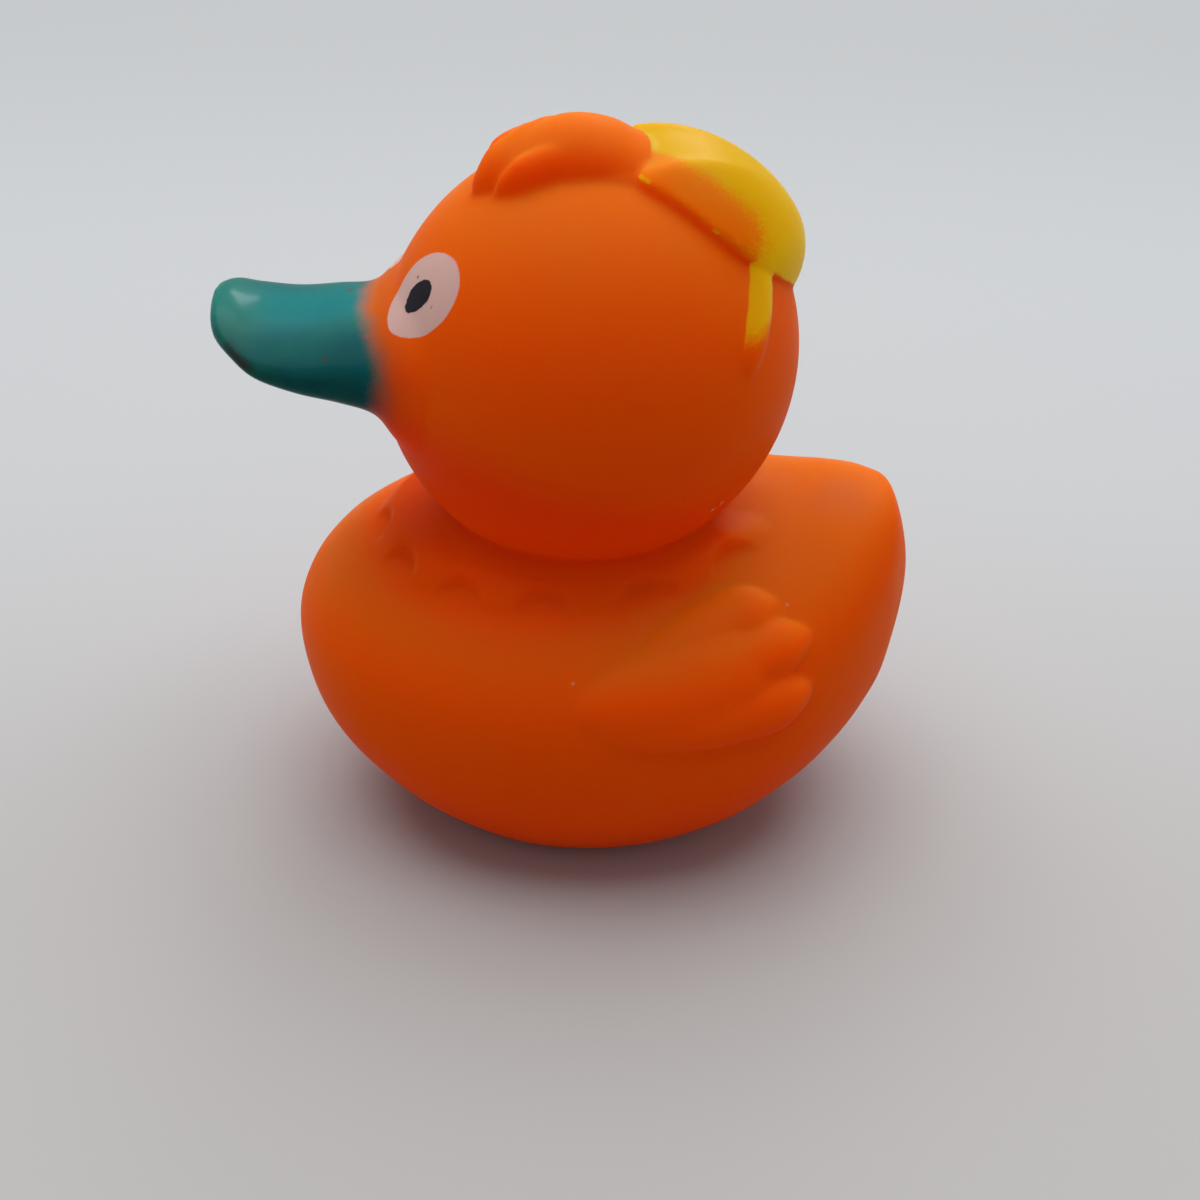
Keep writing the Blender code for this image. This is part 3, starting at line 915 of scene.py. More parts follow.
@dataclass
class Collar:
    """Scalloped collar that stands proud of the shoulders in its arches and sinks into them at its tips."""

    body: Body
    head: Head
    half_width: float = 14.9 * MM
    front: float = 16.6 * MM
    back: float = 20.6 * MM
    centre: float = -0.068
    lift: float = 1.5 * MM
    lobes: int = 13
    neck_rise: float = 1.9 * MM
    neck_spread: float = 0.79
    neck_crease: float = 0.645

    def add_to(self, form: Form, shoulders: bpy.types.Object) -> None:
        """Add the collar to a form, laid over the body's own object."""
        mesh = CollarTree().group.run(shoulders, {
            "Lobes": self.lobes, "Half Width": self.half_width, "Front": self.front, "Back": self.back,
            "Centre": self.centre * self.body.length, "Lift": self.lift,
            "Neck Centre": self.head.centre.y, "Neck Rise": self.neck_rise,
            "Neck Spread": self.neck_spread * self.head.radius,
            "Neck Crease": self.neck_crease * self.head.radius})
        form.add_mesh(mesh)


@dataclass
class Wings:
    """Both wings, each a soft pad with three feathers that rise towards their rounded tips."""

    body: Body
    relief: float = 1.6 * MM
    soft_strands: tuple[Rows, ...] = (WING_PAD, UPPER_FEATHER)
    pad_softness: float = 1.7
    crisp_strands: tuple[Rows, ...] = (MIDDLE_FEATHER, LOWER_FEATHER)
    feather_softness: float = 1.2

    def path(self, rows: Rows) -> np.ndarray:
        """Points, half widths and rises along one strand on the left side."""
        return np.array([(*self.body.place(along, height), half * self.body.height, rise * self.relief)
                         for along, height, half, rise in spline(rows, STRAND_STEPS, 2)[1:-1]])

    def add_to(self, form: Form, tree: StrandTree, hull: bpy.types.Object) -> None:
        """Add both wings to a form, draped over the body's own object."""
        for strands, softness in ((self.soft_strands, self.pad_softness),
                                  (self.crisp_strands, self.feather_softness)):
            for rows in strands:
                mesh = tree.drape(self.path(rows), hull, softness)
                for side in Side:
                    form.add_mesh(mesh, side)


@dataclass
class Headdress:
    """Quiff with three locks swept over its front, and the domed cap with its two straps."""

    head: Head
    lock_relief: float = 2.4 * MM
    lock_softness: float = 1.25
    strap_relief: float = 0.6 * MM
    cap_crown: float = 3.3 * MM
    cap_edge: float = 1.05 * MM
    cap_fullness: float = 2.3
    cap_middle: float = 46.0
    skin_depth: float = 1.6 * MM

    def path(self, rows: Rows, relief: float) -> np.ndarray:
        """Points, half widths and rises along one strand over the head."""
        return np.array([(*self.head.place(side, back), half * self.head.radius, rise * relief)
                         for side, back, half, rise in spline(rows, STRAND_STEPS, 2)[1:-1]])

    def rim(self) -> list[tuple[float, float, float]]:
        """The cap's whole rim, in order, as places on the head and shares of the edge's height."""
        half = [tuple(row) for row in spline(CAP_RIM, RIM_STEPS, 3)]
        return half + [(-side, back, edge) for side, back, edge in half[-2:0:-1]]

    def add_cap(self, form: Form, levels: int = 24) -> None:
        """Add the domed cap to a form, in rings that shrink from the rim to its middle."""
        rim = self.rim()
        crown, base = [], []
        for level in range(1, levels + 1):
            share = level / levels
            bulge = 1.0 - share ** self.cap_fullness
            places = [(share * side, self.cap_middle + share * (back - self.cap_middle),
                       edge * self.cap_edge) for side, back, edge in rim]
            crown.append([self.head.place(side, back, edge + (self.cap_crown - edge) * bulge)
                          for side, back, edge in places])
            base.append([self.head.place(side, back, -self.skin_depth) for side, back, _ in places])
        form.add_rings(crown + base[::-1])

    def add_to(self, form: Form, tree: StrandTree, ball: bpy.types.Object) -> None:
        """Add the locks, the cap and the straps to a form, draped over the head's own object."""
        for rows in (TUFT, TUFT_ROOT, MIDDLE_LOCK, LEFT_LOCK, RIGHT_LOCK):
            form.add_mesh(tree.drape(self.path(rows, self.lock_relief), ball, self.lock_softness))
        strap = tree.drape(self.path(STRAP, self.strap_relief), ball)
        for side in Side:
            form.add_mesh(strap, side)
        self.add_cap(form)

    def cap_reach(self, points: np.ndarray) -> np.ndarray:
        """How far each point lies inside the cap's rim, seen from the head's centre."""
        radius = self.head.radius
        outline = np.array([(side * radius, math.radians(back) * radius) for side, back, _ in self.rim()])
        reach = outline_reach(self.head.chart(points), outline)
        height = np.linalg.norm(points - np.array(self.head.centre), axis=1) - radius
        return np.where(height > -0.5 * self.skin_depth, reach, -radius)

    def strap_reach(self, points: np.ndarray) -> np.ndarray:
        """How far each point lies inside the nearer strap's edge."""
        path = self.path(STRAP, self.strap_relief)
        aside = points.copy()
        aside[:, 0] = np.abs(aside[:, 0])
        away = np.linalg.norm(aside[:, None, :] - path[None, :, :3], axis=2)
        return np.max(path[None, :, 3] - away, axis=1)


@dataclass
class Duck:
    """The whole moulding: one hollow shell fused from its forms, with a vent through its flat base."""

    wall: float = 2.0 * MM
    neck_bore: float = 9.5 * MM
    vent_radius: float = 1.5 * MM
    skin: Fineness = Fineness(0.3 * MM, 6, 176000)
    hollow: Fineness = Fineness(1.0 * MM, 6, 5000)
    evening: int = 30
    crease_angle: float = 50.0
    body: Body = field(default_factory=Body)
    head: Head = field(init=False)
    headdress: Headdress = field(init=False)

    def __post_init__(self) -> None:
        """Seat the head on the body and the headdress on the head."""
        self.head = Head(self.body)
        self.headdress = Headdress(self.head)

    def make_skin(self) -> bpy.types.Object:
        """Fuse the outer skin from the body, head, bill, collar, wings and headdress."""
        hull, ball = Form(), Form()
        self.body.add_to(hull)
        self.head.add_to(ball)
        hull_object, ball_object = hull.place("hull"), ball.place("ball")
        form, tree = Form(), StrandTree()
        form.add_mesh(hull_object.data)
        form.add_mesh(ball_object.data)
        Bill(self.head).add_to(form)
        Collar(self.body, self.head).add_to(form, hull_object)
        Wings(self.body).add_to(form, tree, hull_object)
        self.headdress.add_to(form, tree, ball_object)
        discard(hull_object, ball_object)
        return self.skin.fuse("duck_shell", form)

    def make_hollow(self) -> bpy.types.Object:
        """Fuse the hollow of the body, the neck and the head, whose bore starts well inside both."""
        form = Form()
        self.body.add_to(form, self.wall, self.wall)
        self.head.add_to(form, self.wall)
        foot, top = self.body.height - 3.0 * self.wall, self.head.centre.z - 0.5 * self.head.radius
        form.add_rings(pin(self.neck_bore, self.head.centre.y, (foot, top)))
        return self.hollow.fuse("hollow", form)

    def make_vent(self) -> bpy.types.Object:
        """Make the round pin that opens the vent."""
        form = Form()
        form.add_rings(pin(self.vent_radius, 0.0, (-2.0 * self.wall, 2.0 * self.wall)))
        return form.place("vent")

    def build(self) -> bpy.types.Object:
        """Build the finished shell where the part stands.

        Returns:
            The shell. Its points keep how far they lie inside the cap's and the straps' paint and how
            far they face up, which the finish turns into painted light and shade.
        """
        shell = self.make_skin()
        cutters = (self.make_hollow(), self.make_vent())
        for cutter in cutters:
            step = shell.modifiers.new(cutter.name, "BOOLEAN")
            step.operation = "DIFFERENCE"
            step.solver = "MANIFOLD"
            step.object = cutter
        mesh = carried_out(shell)
        discard(shell, *cutters)
        points = numbers_of(mesh.vertices, "co")
        facing = numbers_of(mesh.vertex_normals, "vector")
        for name, values in (("cap_reach", self.headdress.cap_reach(points)),
                             ("strap_reach", self.headdress.strap_reach(points)),
                             ("upward", evened(mesh, facing[:, 2], self.evening))):
            mesh.attributes.new(name, "FLOAT", "POINT").data.foreach_set("value", values)
        low, high = (np.array(corner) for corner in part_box("rubber_duck"))
        shift = 0.5 * (low + high - points.min(axis=0) - points.max(axis=0))
        shift[2] = low[2] - points[:, 2].min()
        mesh.vertices.foreach_set("co", (points + shift).ravel())
        mesh.polygons.foreach_set("use_smooth", [True] * len(mesh.polygons))
        mesh.set_sharp_from_angle(angle=math.radians(self.crease_angle))
        return stand("duck_shell", mesh)


@dataclass(frozen=True)
class PaintEdge:
    """How a coat of paint ends: the width of its edge and how far it wanders and speckles."""

    softness: float
    wobble: float = 0.0
    speckle: float = 0.0
    wobble_size: float = 1.5 * MM
    speckle_size: float = 0.25 * MM


@dataclass(frozen=True)
class Coat:
    """Colour and roughness of a coat, and how its edge is."""

    colour: Colour
    roughness: float
    edge: PaintEdge


@dataclass(frozen=True)
class Spot:
    """Small mark on the duck, its place, radius and run in millimetres, with its colour and strength."""

    place: Place
    radius: float
    colour: Colour
    strength: float = 1.0
    softness: float = 0.3
    run: Place = (0.0, 0.0, 0.0)


@dataclass(frozen=True)
class Oval:
    """Oval laid on the head: its middle, half axes and the lean of its long axis from level."""

    middle: Place
    half_long: float
    half_short: float
    lean: float

    def rotation(self, facing: Vector, level: Vector) -> Euler:
        """Turn of the oval's own axes, given the direction it faces and a level direction in its plane."""
        up = facing.cross(level).normalized()
        turned = math.radians(self.lean)
        along = level * math.cos(turned) + up * math.sin(turned)
        across = facing.cross(along)
        return Matrix((along, across, facing)).transposed().to_euler()


@dataclass(frozen=True)
class VinylFinish:
    """Satin orange vinyl that lets light in, with painted light making it paler on top and painted shade
    making it redder underneath and at the neck.
    """

    painted_light_colour: Colour = (0.70, 0.137, 0.004)
    colour: Colour = (0.93, 0.090, 0.0005)
    painted_shade_colour: Colour = (0.96, 0.046, 0.0003)
    painted_shade_facing: Pair = (-0.75, 0.15)
    painted_light_facing: Pair = (0.25, 1.05)
    roughness: float = 0.46
    handling: float = 0.05
    handling_size: float = 6.0 * MM
    handling_fades: Pair = (0.3, 0.7)
    shine: float = 0.02
    depth: float = 2.8 * MM
    depth_by_colour: Colour = (1.0, 0.22, 0.06)
    clouds: float = 0.25
    cloud_size: float = 12.0 * MM
    neck: Place = (0.0, -3.0 * MM, 34.0 * MM)
    neck_shade_fades: Pair = (13.0 * MM, 21.0 * MM)
    neck_painted_shade: float = 0.75
    grain: float = 0.9 * MM
    grain_depth: float = 0.05 * MM
    grain_strength: float = 0.12


@dataclass(frozen=True)
class EyeFinish:
    """White of the eye and the pupil."""

    facing: Place = (0.335, -0.785, 0.521)
    level: Place = (0.92, 0.392, 0.0)
    white_oval: Oval = Oval((6.11 * MM, -13.43 * MM, 53.22 * MM), 4.66 * MM, 3.58 * MM, 43.0)
    pupil_oval: Oval = Oval((5.94 * MM, -13.87 * MM, 53.07 * MM), 1.91 * MM, 1.24 * MM, 52.0)
    right_shift: float = 0.9 * MM
    white: Coat = Coat((0.65, 0.405, 0.365), 0.45, PaintEdge(0.14 * MM, 0.10 * MM))
    pupil: Coat = Coat((0.020, 0.018, 0.024), 0.38, PaintEdge(0.12 * MM, 0.25 * MM, wobble_size=0.8 * MM))


@dataclass(frozen=True)
class BillFinish:
    """Glossy teal of the bill, sprayed on with a soft edge towards the head, with painted shade making it
    darker on its sides and underneath.
    """

    coat: Coat = Coat((0.008, 0.165, 0.168), 0.30, PaintEdge(2.2 * MM, 0.5 * MM, 0.35 * MM, 3.0 * MM))
    side_painted_shade_colour: Colour = (0.002, 0.086, 0.094)
    underside_painted_shading: Colour = (0.003, 0.064, 0.069)
    green: Colour = (0.010, 0.138, 0.090)
    haze_colour: Colour = (0.30, 0.040, 0.012)
    haze_reach: float = 3.0 * MM
    haze: float = 0.45
    underside_shading_facing: Pair = (-0.6, 0.9)
    side_shade_fades: Pair = (0.5 * MM, 6.0 * MM)
    tip_fades: Pair = (-31.0 * MM, -25.0 * MM)
    tip_green: float = 0.55
    patch_size: float = 4.0 * MM
    patch_fades: Pair = (0.45, 0.75)
    patch_green: float = 0.4
    gloss: float = 0.045
    tip_gloss: float = 0.14
    gloss_roughness: float = 0.11
    root: float = -18.35 * MM
    bow: float = 20.0
    foot: float = 40.0 * MM
    low_heights: Pair = (45.0 * MM, 49.0 * MM)
    low_softness: float = 2.4 * MM
    low_shift: float = 0.3 * MM


@dataclass(frozen=True)
class CapFinish:
    """Glossy yellow of the cap and straps, sprayed from the right so that the left rim is thin, with
    painted light making it brighter on faces that point sideways or down and painted shade making it darker
    on top.
    """

    coat: Coat = Coat((0.62, 0.335, 0.001), 0.34, PaintEdge(0.16 * MM, 0.06 * MM))
    underside_painted_shading: Colour = (0.97, 0.52, 0.001)
    underside_shading_facing: Pair = (0.1, 0.95)
    gloss: float = 0.02
    thin_cover: float = 0.22
    strap_cover: float = 0.88
    spray_edge: PaintEdge = PaintEdge(2.3 * MM, 0.5 * MM, 1.1 * MM, 2.2 * MM, 0.2 * MM)
    bare_rim: float = 2.6 * MM
    bare_side: Pair = (-2.0 * MM, 4.5 * MM)
    bare_heights: Pair = (52.5 * MM, 62.5 * MM)
    strap_end: float = 52.7 * MM
    strap_edge: PaintEdge = PaintEdge(2.2 * MM, 0.6 * MM, 0.8 * MM, 1.6 * MM, 0.25 * MM)


@dataclass(frozen=True)
class Wear:
    """Marks that use has left on the duck."""

    spots: tuple[Spot, ...] = (
        Spot((4.4, -13.9, 54.1), 0.14, (0.05, 0.02, 0.025), 0.8),
        Spot((8.1, -12.8, 53.2), 0.16, (0.35, 0.12, 0.10), 0.5),
        Spot((-2.9, -19.7, 49.1), 0.30, (0.12, 0.06, 0.04), 0.7),
        Spot((7.0, -21.6, 47.7), 0.28, (0.06, 0.05, 0.04), 0.6),
        Spot((6.5, -29.25, 48.0), 0.30, (0.045, 0.030, 0.022), 0.8, 0.5, (0.9, 1.0, -0.7)),
        Spot((6.1, -29.6, 48.4), 0.45, (0.020, 0.040, 0.035), 0.6, 0.8, (1.6, 1.7, -1.3)),
        Spot((4.85, 4.0, 63.63), 0.20, (0.84, 0.42, 0.004), 0.9, 0.4, (0.75, 0.65, -0.15)),
        Spot((7.74, 10.0, 60.3), 0.16, (0.84, 0.42, 0.010), 0.8, 0.4, (0.2, 0.3, -0.2)),
        Spot((11.6, 12.0, 36.7), 0.22, (0.75, 0.50, 0.40), 0.5),
        Spot((12.0, 11.2, 36.3), 0.18, (0.75, 0.50, 0.40), 0.45),
        Spot((10.8, 10.7, 29.9), 0.16, (0.75, 0.45, 0.35), 0.4),
        Spot((19.3, -0.6, 23.3), 0.16, (0.75, 0.45, 0.35), 0.4),
        Spot((13.0, 18.3, 27.2), 0.16, (0.70, 0.42, 0.30), 0.35),
        Spot((1.8, 24.6, 31.6), 2.6, (0.22, 0.13, 0.10), 0.16, 1.0),
    )


class PaintGroups:
    """Node groups that every coat and mark of the duck's finish shares."""

    def __init__(self) -> None:
        """Build both groups."""
        self.edge = self.build_edge()
        self.spot = self.build_spot()

    @staticmethod
    def build_edge() -> bpy.types.NodeTree:
        """Group that turns a distance inside an outline into a mask with a wandering, speckled edge."""
        group = NodeGroup("paint_edge", "ShaderNodeTree", {
            "Vector": Kind.VECTOR, "Distance": 0.0, "Softness": 0.2 * MM, "Wobble": 0.0,
            "Wobble Size": 1.5 * MM, "Speckle": 0.0, "Speckle Size": 0.25 * MM}, Kind.NUMBER)
        graph, source = group.graph, group.source
        reach = source["Distance"]
        for amount, size in (("Wobble", "Wobble Size"), ("Speckle", "Speckle Size")):
            noise = graph.noise(source["Vector"], source[size], 3.0)
            wave = graph.product(graph.math("SUBTRACT", noise, 0.5), 2.0, source[amount])
            reach = graph.math("ADD", reach, wave)
        half = graph.product(source["Softness"], 0.5)
        group.give(graph.ramp(reach, graph.product(half, -1.0), half))
        return group.tree

    @staticmethod
    def build_spot() -> bpy.types.NodeTree:
        """Group that masks a small ragged spot or a short run of one."""
        group = NodeGroup("small_spot", "ShaderNodeTree", {
            "Vector": Kind.VECTOR, "Place": Kind.VECTOR, "Run": Kind.VECTOR, "Radius": 0.3 * MM,
            "Softness": 0.3, "Strength": 1.0}, Kind.NUMBER)
        graph, source = group.graph, group.source
        offset = graph.vector("SUBTRACT", source["Vector"], source["Place"])
        along = graph.share(graph.vector("DOT_PRODUCT", offset, source["Run"]),
                            graph.vector("DOT_PRODUCT", source["Run"], source["Run"]))
        nearest = graph.scaled(source["Run"], along)
        away = graph.vector("LENGTH", graph.vector("SUBTRACT", offset, nearest))
        ragged = graph.noise(source["Vector"], graph.product(source["Radius"], RAGGED_SHARE))
        share = graph.math("DIVIDE", away, source["Radius"])
        share = graph.math("ADD", share, graph.math("SUBTRACT", ragged, 0.5))
        inner = graph.math("SUBTRACT", 1.0, source["Softness"])
        outer = graph.math("ADD", 1.0, source["Softness"])
        group.give(graph.ramp(share, inner, outer, source["Strength"], 0.0))
        return group.tree


@dataclass
class DuckFinish:
    """Finish of the whole duck: the vinyl with its painted light and shade, its coats of paint and its
    wear, in one material.
    """

    vinyl: VinylFinish = VinylFinish()
    bill: BillFinish = BillFinish()
    cap: CapFinish = CapFinish()
    eye: EyeFinish = EyeFinish()
    wear: Wear = Wear()

    def build(self) -> bpy.types.Material:
        """Build the material.

        Returns:
            The material, whose colour and roughness change from coat to coat.
        """
        material, self.graph, shader = new_material("painted_vinyl")
        self.groups = PaintGroups()
        self.place = self.graph.add("ShaderNodeTexCoord").outputs["Object"]
        split = self.graph.add("ShaderNodeSeparateXYZ", {0: self.place}).outputs
        self.x, self.y, self.z = split["X"], split["Y"], split["Z"]
        right = self.graph.math("MULTIPLY_ADD", self.x, -1.0, -self.eye.right_shift)
        self.aside = self.graph.math("MAXIMUM", self.x, right)
        self.colour, self.roughness = self.vinyl_colour(), self.vinyl_roughness()
        self.paint_cap()
        self.paint_bill()
        self.paint_eyes()
        self.mark_wear()
        self.shade(shader)
        return material

    def edge(self, distance: Socket, edge: PaintEdge, softness: Socket | None = None) -> Socket:
        """Mask of a coat from how far inside its outline a point lies.

        Args:
            distance: the distance inside the outline.
            edge: how the coat ends.
            softness: a changing softness in place of the edge's own.

        Returns:
            The mask.
        """
        node = self.graph.add("ShaderNodeGroup", node_tree=self.groups.edge)
        self.graph.fill(node, {
            "Vector": self.place, "Distance": distance, "Softness": softness or edge.softness,
            "Wobble": edge.wobble, "Wobble Size": edge.wobble_size, "Speckle": edge.speckle,
            "Speckle Size": edge.speckle_size})
        return node.outputs[0]

    def lay(self, coat: Coat, mask: Socket, colour: Socket | None = None) -> None:
        """Lay a coat over what is there by a mask, in its own colour or a changing one."""
        self.colour = self.graph.mix_colour(mask, self.colour, colour or coat.colour)
        self.roughness = self.graph.mix_number(mask, self.roughness, coat.roughness)

    def vinyl_colour(self) -> Socket:
        """Colour of the vinyl, with painted light on faces that point up and painted shade on faces that
        point down and near the neck, shifted by soft clouds.
        """
        vinyl, graph = self.vinyl, self.graph
        cloud = graph.noise(self.place, vinyl.cloud_size)
        cloud = graph.product(graph.math("SUBTRACT", cloud, 0.5), vinyl.clouds)
        facing = graph.math("ADD", self.attribute("upward"), cloud)
        # Painted shade: the vinyl is made redder round the neck, under the head
        from_neck = graph.vector("DISTANCE", self.place, vinyl.neck)
        facing = graph.math("SUBTRACT", facing,
                            graph.ramp(from_neck, *vinyl.neck_shade_fades, vinyl.neck_painted_shade, 0.0))
        # Painted shade on faces that point down, painted light on faces that point up
        low = graph.mix_colour(graph.ramp(facing, *vinyl.painted_shade_facing), vinyl.painted_shade_colour, vinyl.colour)
        return graph.mix_colour(graph.ramp(facing, *vinyl.painted_light_facing), low, vinyl.painted_light_colour)

    def vinyl_roughness(self) -> Socket:
        """Roughness of the vinyl, handled smoother in places."""
        vinyl = self.vinyl
        handled = self.graph.noise(self.place, vinyl.handling_size, 4.0)
        return self.graph.ramp(handled, *vinyl.handling_fades, vinyl.roughness - vinyl.handling,
                               vinyl.roughness + vinyl.handling)

    def attribute(self, name: str) -> Socket:
        """Number kept on the shell's points under a name."""
        return self.graph.add("ShaderNodeAttribute", attribute_name=name).outputs["Fac"]

    def paint_cap(self) -> None:
        """Spray the cap and the straps yellow, with painted light on faces that point sideways or down and
        painted shade on the top.
        """
        cap, graph = self.cap, self.graph
        reach = self.attribute("cap_reach")
        bare = graph.product(graph.ramp(self.x, *cap.bare_side), graph.ramp(self.z, *cap.bare_heights))
        bare = graph.math("MULTIPLY_ADD", bare, 2.0 * cap.bare_rim, -cap.bare_rim)
        sprayed = self.edge(graph.math("SUBTRACT", reach, bare), cap.spray_edge)
        cover = graph.ramp(sprayed, 0.0, 1.0, cap.thin_cover, 1.0)
        dome = graph.product(self.edge(reach, cap.coat.edge), cover)
        fade = self.edge(graph.math("SUBTRACT", self.z, cap.strap_end), cap.strap_edge)
        strap = self.edge(self.attribute("strap_reach"), cap.coat.edge)
        mask = graph.math("MAXIMUM", dome, graph.product(strap, fade, cap.strap_cover))
        # Painted light and shade: brighter yellow on faces that point sideways or down, darker on top
        low = graph.ramp(self.attribute("upward"), *cap.underside_shading_facing)
        self.lay(cap.coat, mask, graph.mix_colour(low, cap.underside_painted_shading, cap.coat.colour))
        self.gloss = graph.product(mask, cap.gloss)

    def paint_bill(self) -> None:
        """Spray the bill teal, thinner and softer underneath, with a haze of it on the head, and darker on
        its sides and underneath as painted shade.
        """
        bill, graph = self.bill, self.graph
        bowed = graph.math("MULTIPLY_ADD", graph.product(self.x, self.x), bill.bow, bill.root)
        distance = graph.math("MINIMUM", graph.math("SUBTRACT", bowed, self.y),
                              graph.math("SUBTRACT", self.z, bill.foot))
        distance = graph.math("SUBTRACT", distance,
                              graph.ramp(self.z, *bill.low_heights, bill.low_shift, 0.0))
        softness = graph.ramp(self.z, *bill.low_heights, bill.low_softness, bill.coat.edge.softness)
        mask = self.edge(distance, bill.coat.edge, softness)
        haze = graph.ramp(distance, -bill.haze_reach, 0.0, 0.0, bill.haze)
        self.colour = graph.mix_colour(haze, self.colour, bill.haze_colour)
        # Painted shade: darker teal towards the sides and on faces that point down
        colour = graph.mix_colour(graph.ramp(self.aside, *bill.side_shade_fades), bill.coat.colour,
                                  bill.side_painted_shade_colour)
        low = graph.ramp(self.attribute("upward"), *bill.underside_shading_facing)
        colour = graph.mix_colour(low, bill.underside_painted_shading, colour)
        patches = graph.ramp(graph.noise(self.place, bill.patch_size, 3.0), *bill.patch_fades, 0.0,
                             bill.patch_green)
        green = graph.math("ADD", graph.ramp(self.y, *bill.tip_fades, bill.tip_green, 0.0), patches)
        self.lay(bill.coat, mask, graph.mix_colour(green, colour, bill.green))
        gloss = graph.ramp(self.y, *bill.tip_fades, bill.tip_gloss, bill.gloss)
        self.gloss = graph.math("MULTIPLY_ADD", mask, gloss, self.gloss)

    def oval_distance(self, oval: Oval, mirrored: Socket) -> Socket:
        """Distance inside an oval on both sides of the head."""
        rotation = oval.rotation(Vector(self.eye.facing).normalized(), Vector(self.eye.level).normalized())
        mapped = self.graph.add("ShaderNodeMapping", {
            "Vector": mirrored, "Location": oval.middle, "Rotation": rotation,
            "Scale": (oval.half_long, oval.half_short, 2.0 * oval.half_long)}, vector_type="TEXTURE")
        inside = self.graph.math("SUBTRACT", 1.0, self.graph.vector("LENGTH", mapped.outputs[0]))
        return self.graph.product(inside, oval.half_short)

    def paint_eyes(self) -> None:
        """Print the whites and the pupils."""
        eye = self.eye
        mirrored = self.graph.add("ShaderNodeCombineXYZ", {0: self.aside, 1: self.y, 2: self.z}).outputs[0]
        for coat, oval in ((eye.white, eye.white_oval), (eye.pupil, eye.pupil_oval)):
            self.lay(coat, self.edge(self.oval_distance(oval, mirrored), coat.edge))

    def mark_wear(self) -> None:
        """Add the specks, flecks and stains."""
        for spot in self.wear.spots:
            node = self.graph.add("ShaderNodeGroup", node_tree=self.groups.spot)
            self.graph.fill(node, {
                "Vector": self.place, "Place": Vector(spot.place) * MM, "Run": Vector(spot.run) * MM,
                "Radius": spot.radius * MM, "Softness": spot.softness, "Strength": spot.strength})
            self.colour = self.graph.mix_colour(node.outputs[0], self.colour, spot.colour)

    def shade(self, shader: bpy.types.Node) -> None:
        """Feed the shader with what was laid, and set what is the same all over."""
        vinyl = self.vinyl
        grain = self.graph.noise(self.place, vinyl.grain, 4.0)
        self.graph.fill(shader, {
            "Base Color": self.colour, "Roughness": self.roughness, "Coat Weight": self.gloss,
            "Coat Roughness": self.bill.gloss_roughness, "Subsurface Weight": 1.0,
            "Subsurface Radius": vinyl.depth_by_colour, "Subsurface Scale": vinyl.depth,
            "Specular IOR Level": vinyl.shine,
            "Normal": self.graph.bump(grain, vinyl.grain_strength, vinyl.grain_depth)})
        shader.subsurface_method = "RANDOM_WALK"


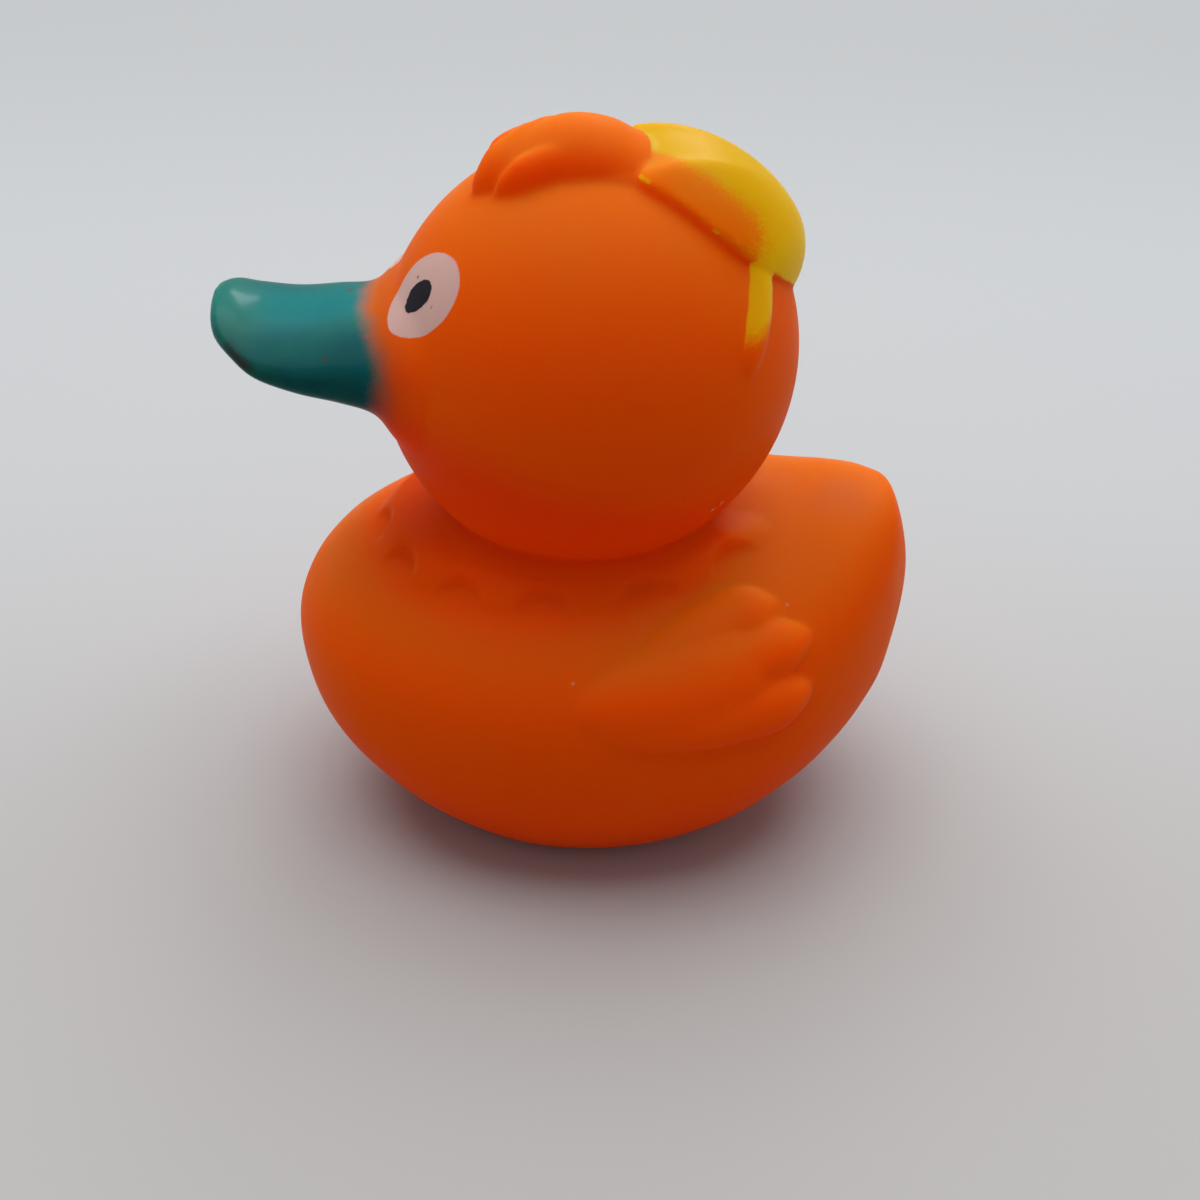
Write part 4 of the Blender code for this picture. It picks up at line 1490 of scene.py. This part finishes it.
@dataclass
class Studio:
    """Pale floor with painted shade towards its far and near ends, soft light and the camera at the
    picture's place.
    """

    floor_colour: Colour = (0.490, 0.505, 0.518)
    far_painted_shade_colour: Colour = (0.420, 0.432, 0.442)
    near_painted_shade_colour: Colour = (0.455, 0.448, 0.442)
    far_shade_fades: Pair = (-0.21, -0.09)
    near_shade_fades: Pair = (-0.06, 0.03)
    floor_roughness: float = 0.9
    floor_size: float = 4.0
    fibre_size: float = 1.0 / 900.0
    fibre_depth: float = 0.2 * MM
    fibre_strength: float = 0.08
    camera_place: Place = (187.5 * MM, -15.5 * MM, 145.5 * MM)
    camera_tilt: float = 33.9
    camera_turn: float = 5.7
    camera_roll: float = 3.3
    lens: float = 73.3
    key_direction: Place = (-0.28, -0.02, 0.95)
    lamp_distance: float = 0.75
    key_size: float = 1.2
    key_power: float = 8.0
    window_direction: Place = (-0.87, 0.22, 0.42)
    window_size: Pair = (0.30, 0.07)
    window_power: float = 0.45
    ambient: float = 0.32
    backdrop: float = 0.60
    sky_colour: Colour = (0.97, 0.985, 1.0)

    def build(self) -> None:
        """Build the floor, the light and the camera."""
        self.add_floor()
        self.add_lamp("key", self.key_direction, (self.key_size, self.key_size), self.key_power)
        self.add_lamp("window", self.window_direction, self.window_size, self.window_power)
        self.add_ambient()
        self.add_camera()

    def add_floor(self) -> None:
        """Lay the floor that the duck stands on, darker towards its far and near ends as painted shade."""
        sheet = bmesh.new()
        bmesh.ops.create_grid(sheet, x_segments=1, y_segments=1, size=self.floor_size / 2)
        mesh = bpy.data.meshes.new("floor")
        sheet.to_mesh(mesh)
        sheet.free()
        material, graph, shader = new_material("pale_paper")
        place = graph.add("ShaderNodeTexCoord").outputs["Object"]
        along = graph.add("ShaderNodeSeparateXYZ", {0: place}).outputs["X"]
        # Painted shade: the floor darkens towards its far end and, a little warmer, towards the camera
        colour = graph.mix_colour(graph.ramp(along, *self.far_shade_fades), self.far_painted_shade_colour, self.floor_colour)
        colour = graph.mix_colour(graph.ramp(along, *self.near_shade_fades), colour, self.near_painted_shade_colour)
        fibres = graph.noise(place, self.fibre_size, 4.0)
        graph.fill(shader, {"Base Color": colour, "Roughness": self.floor_roughness,
                            "Normal": graph.bump(fibres, self.fibre_strength, self.fibre_depth)})
        mesh.materials.append(material)
        floor = stand("floor", mesh)

    def add_lamp(self, name: str, towards: Place, size: Pair, power: float) -> None:
        """Hang a soft oval lamp that faces the duck.

        Args:
            name: the lamp's name.
            towards: the direction in which it hangs from the duck.
            size: its width and height.
            power: its power in watts.
        """
        lamp = bpy.data.lights.new(name, "AREA")
        lamp.shape = "ELLIPSE"
        lamp.size, lamp.size_y = size
        lamp.energy = power
        item = stand(name, lamp)
        direction = Vector(towards).normalized()
        item.location = direction * self.lamp_distance
        item.rotation_euler = direction.to_track_quat("Z", "Y").to_euler()

    def add_ambient(self) -> None:
        """Surround the duck with even pale light, and with the paler backdrop that the camera sees."""
        world = bpy.data.worlds.new("studio")
        bpy.context.scene.world = world
        world.use_nodes = True
        graph = Graph(world.node_tree)
        shader = world.node_tree.nodes["Background"]
        path = graph.add("ShaderNodeLightPath").outputs
        seen = graph.math("MAXIMUM", path["Is Camera Ray"], path["Is Glossy Ray"])
        seen = graph.math("MAXIMUM", seen, path["Is Transmission Ray"])
        graph.fill(shader, {"Strength": graph.mix_number(seen, self.ambient, self.backdrop),
                            "Color": (*self.sky_colour, 1.0)})

    def add_camera(self) -> None:
        """Place the camera as the picture was taken."""
        tilt, turn = math.radians(self.camera_tilt), math.radians(self.camera_turn)
        ahead = Vector((-math.cos(tilt) * math.cos(turn), math.cos(tilt) * math.sin(turn), -math.sin(tilt)))
        camera = bpy.data.cameras.new("camera")
        camera.lens = self.lens
        camera.clip_start = 10.0 * MM
        item = stand("camera", camera)
        item.location = self.camera_place
        roll = Matrix.Rotation(math.radians(self.camera_roll), 3, "Z")
        item.rotation_euler = (ahead.to_track_quat("-Z", "Y").to_matrix() @ roll).to_euler()
        bpy.context.scene.camera = item


def main() -> None:
    """Build the dressed duck and its studio."""
    logging.basicConfig(level=logging.INFO, format="%(name)s: %(message)s")
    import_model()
    bpy.context.scene.view_settings.view_transform = "Standard"
    shell = Duck().build()
    shell.data.materials.clear()
    shell.data.materials.append(DuckFinish().build())
    shell.data.calc_loop_triangles()
    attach(shell, "root")
    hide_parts("rubber_duck")
    log.info("duck_shell: %d triangles", len(shell.data.loop_triangles))
    Studio().build()
    log.info("studio: floor, both lamps, ambient light and camera")


if __name__ == "__main__":
    main()
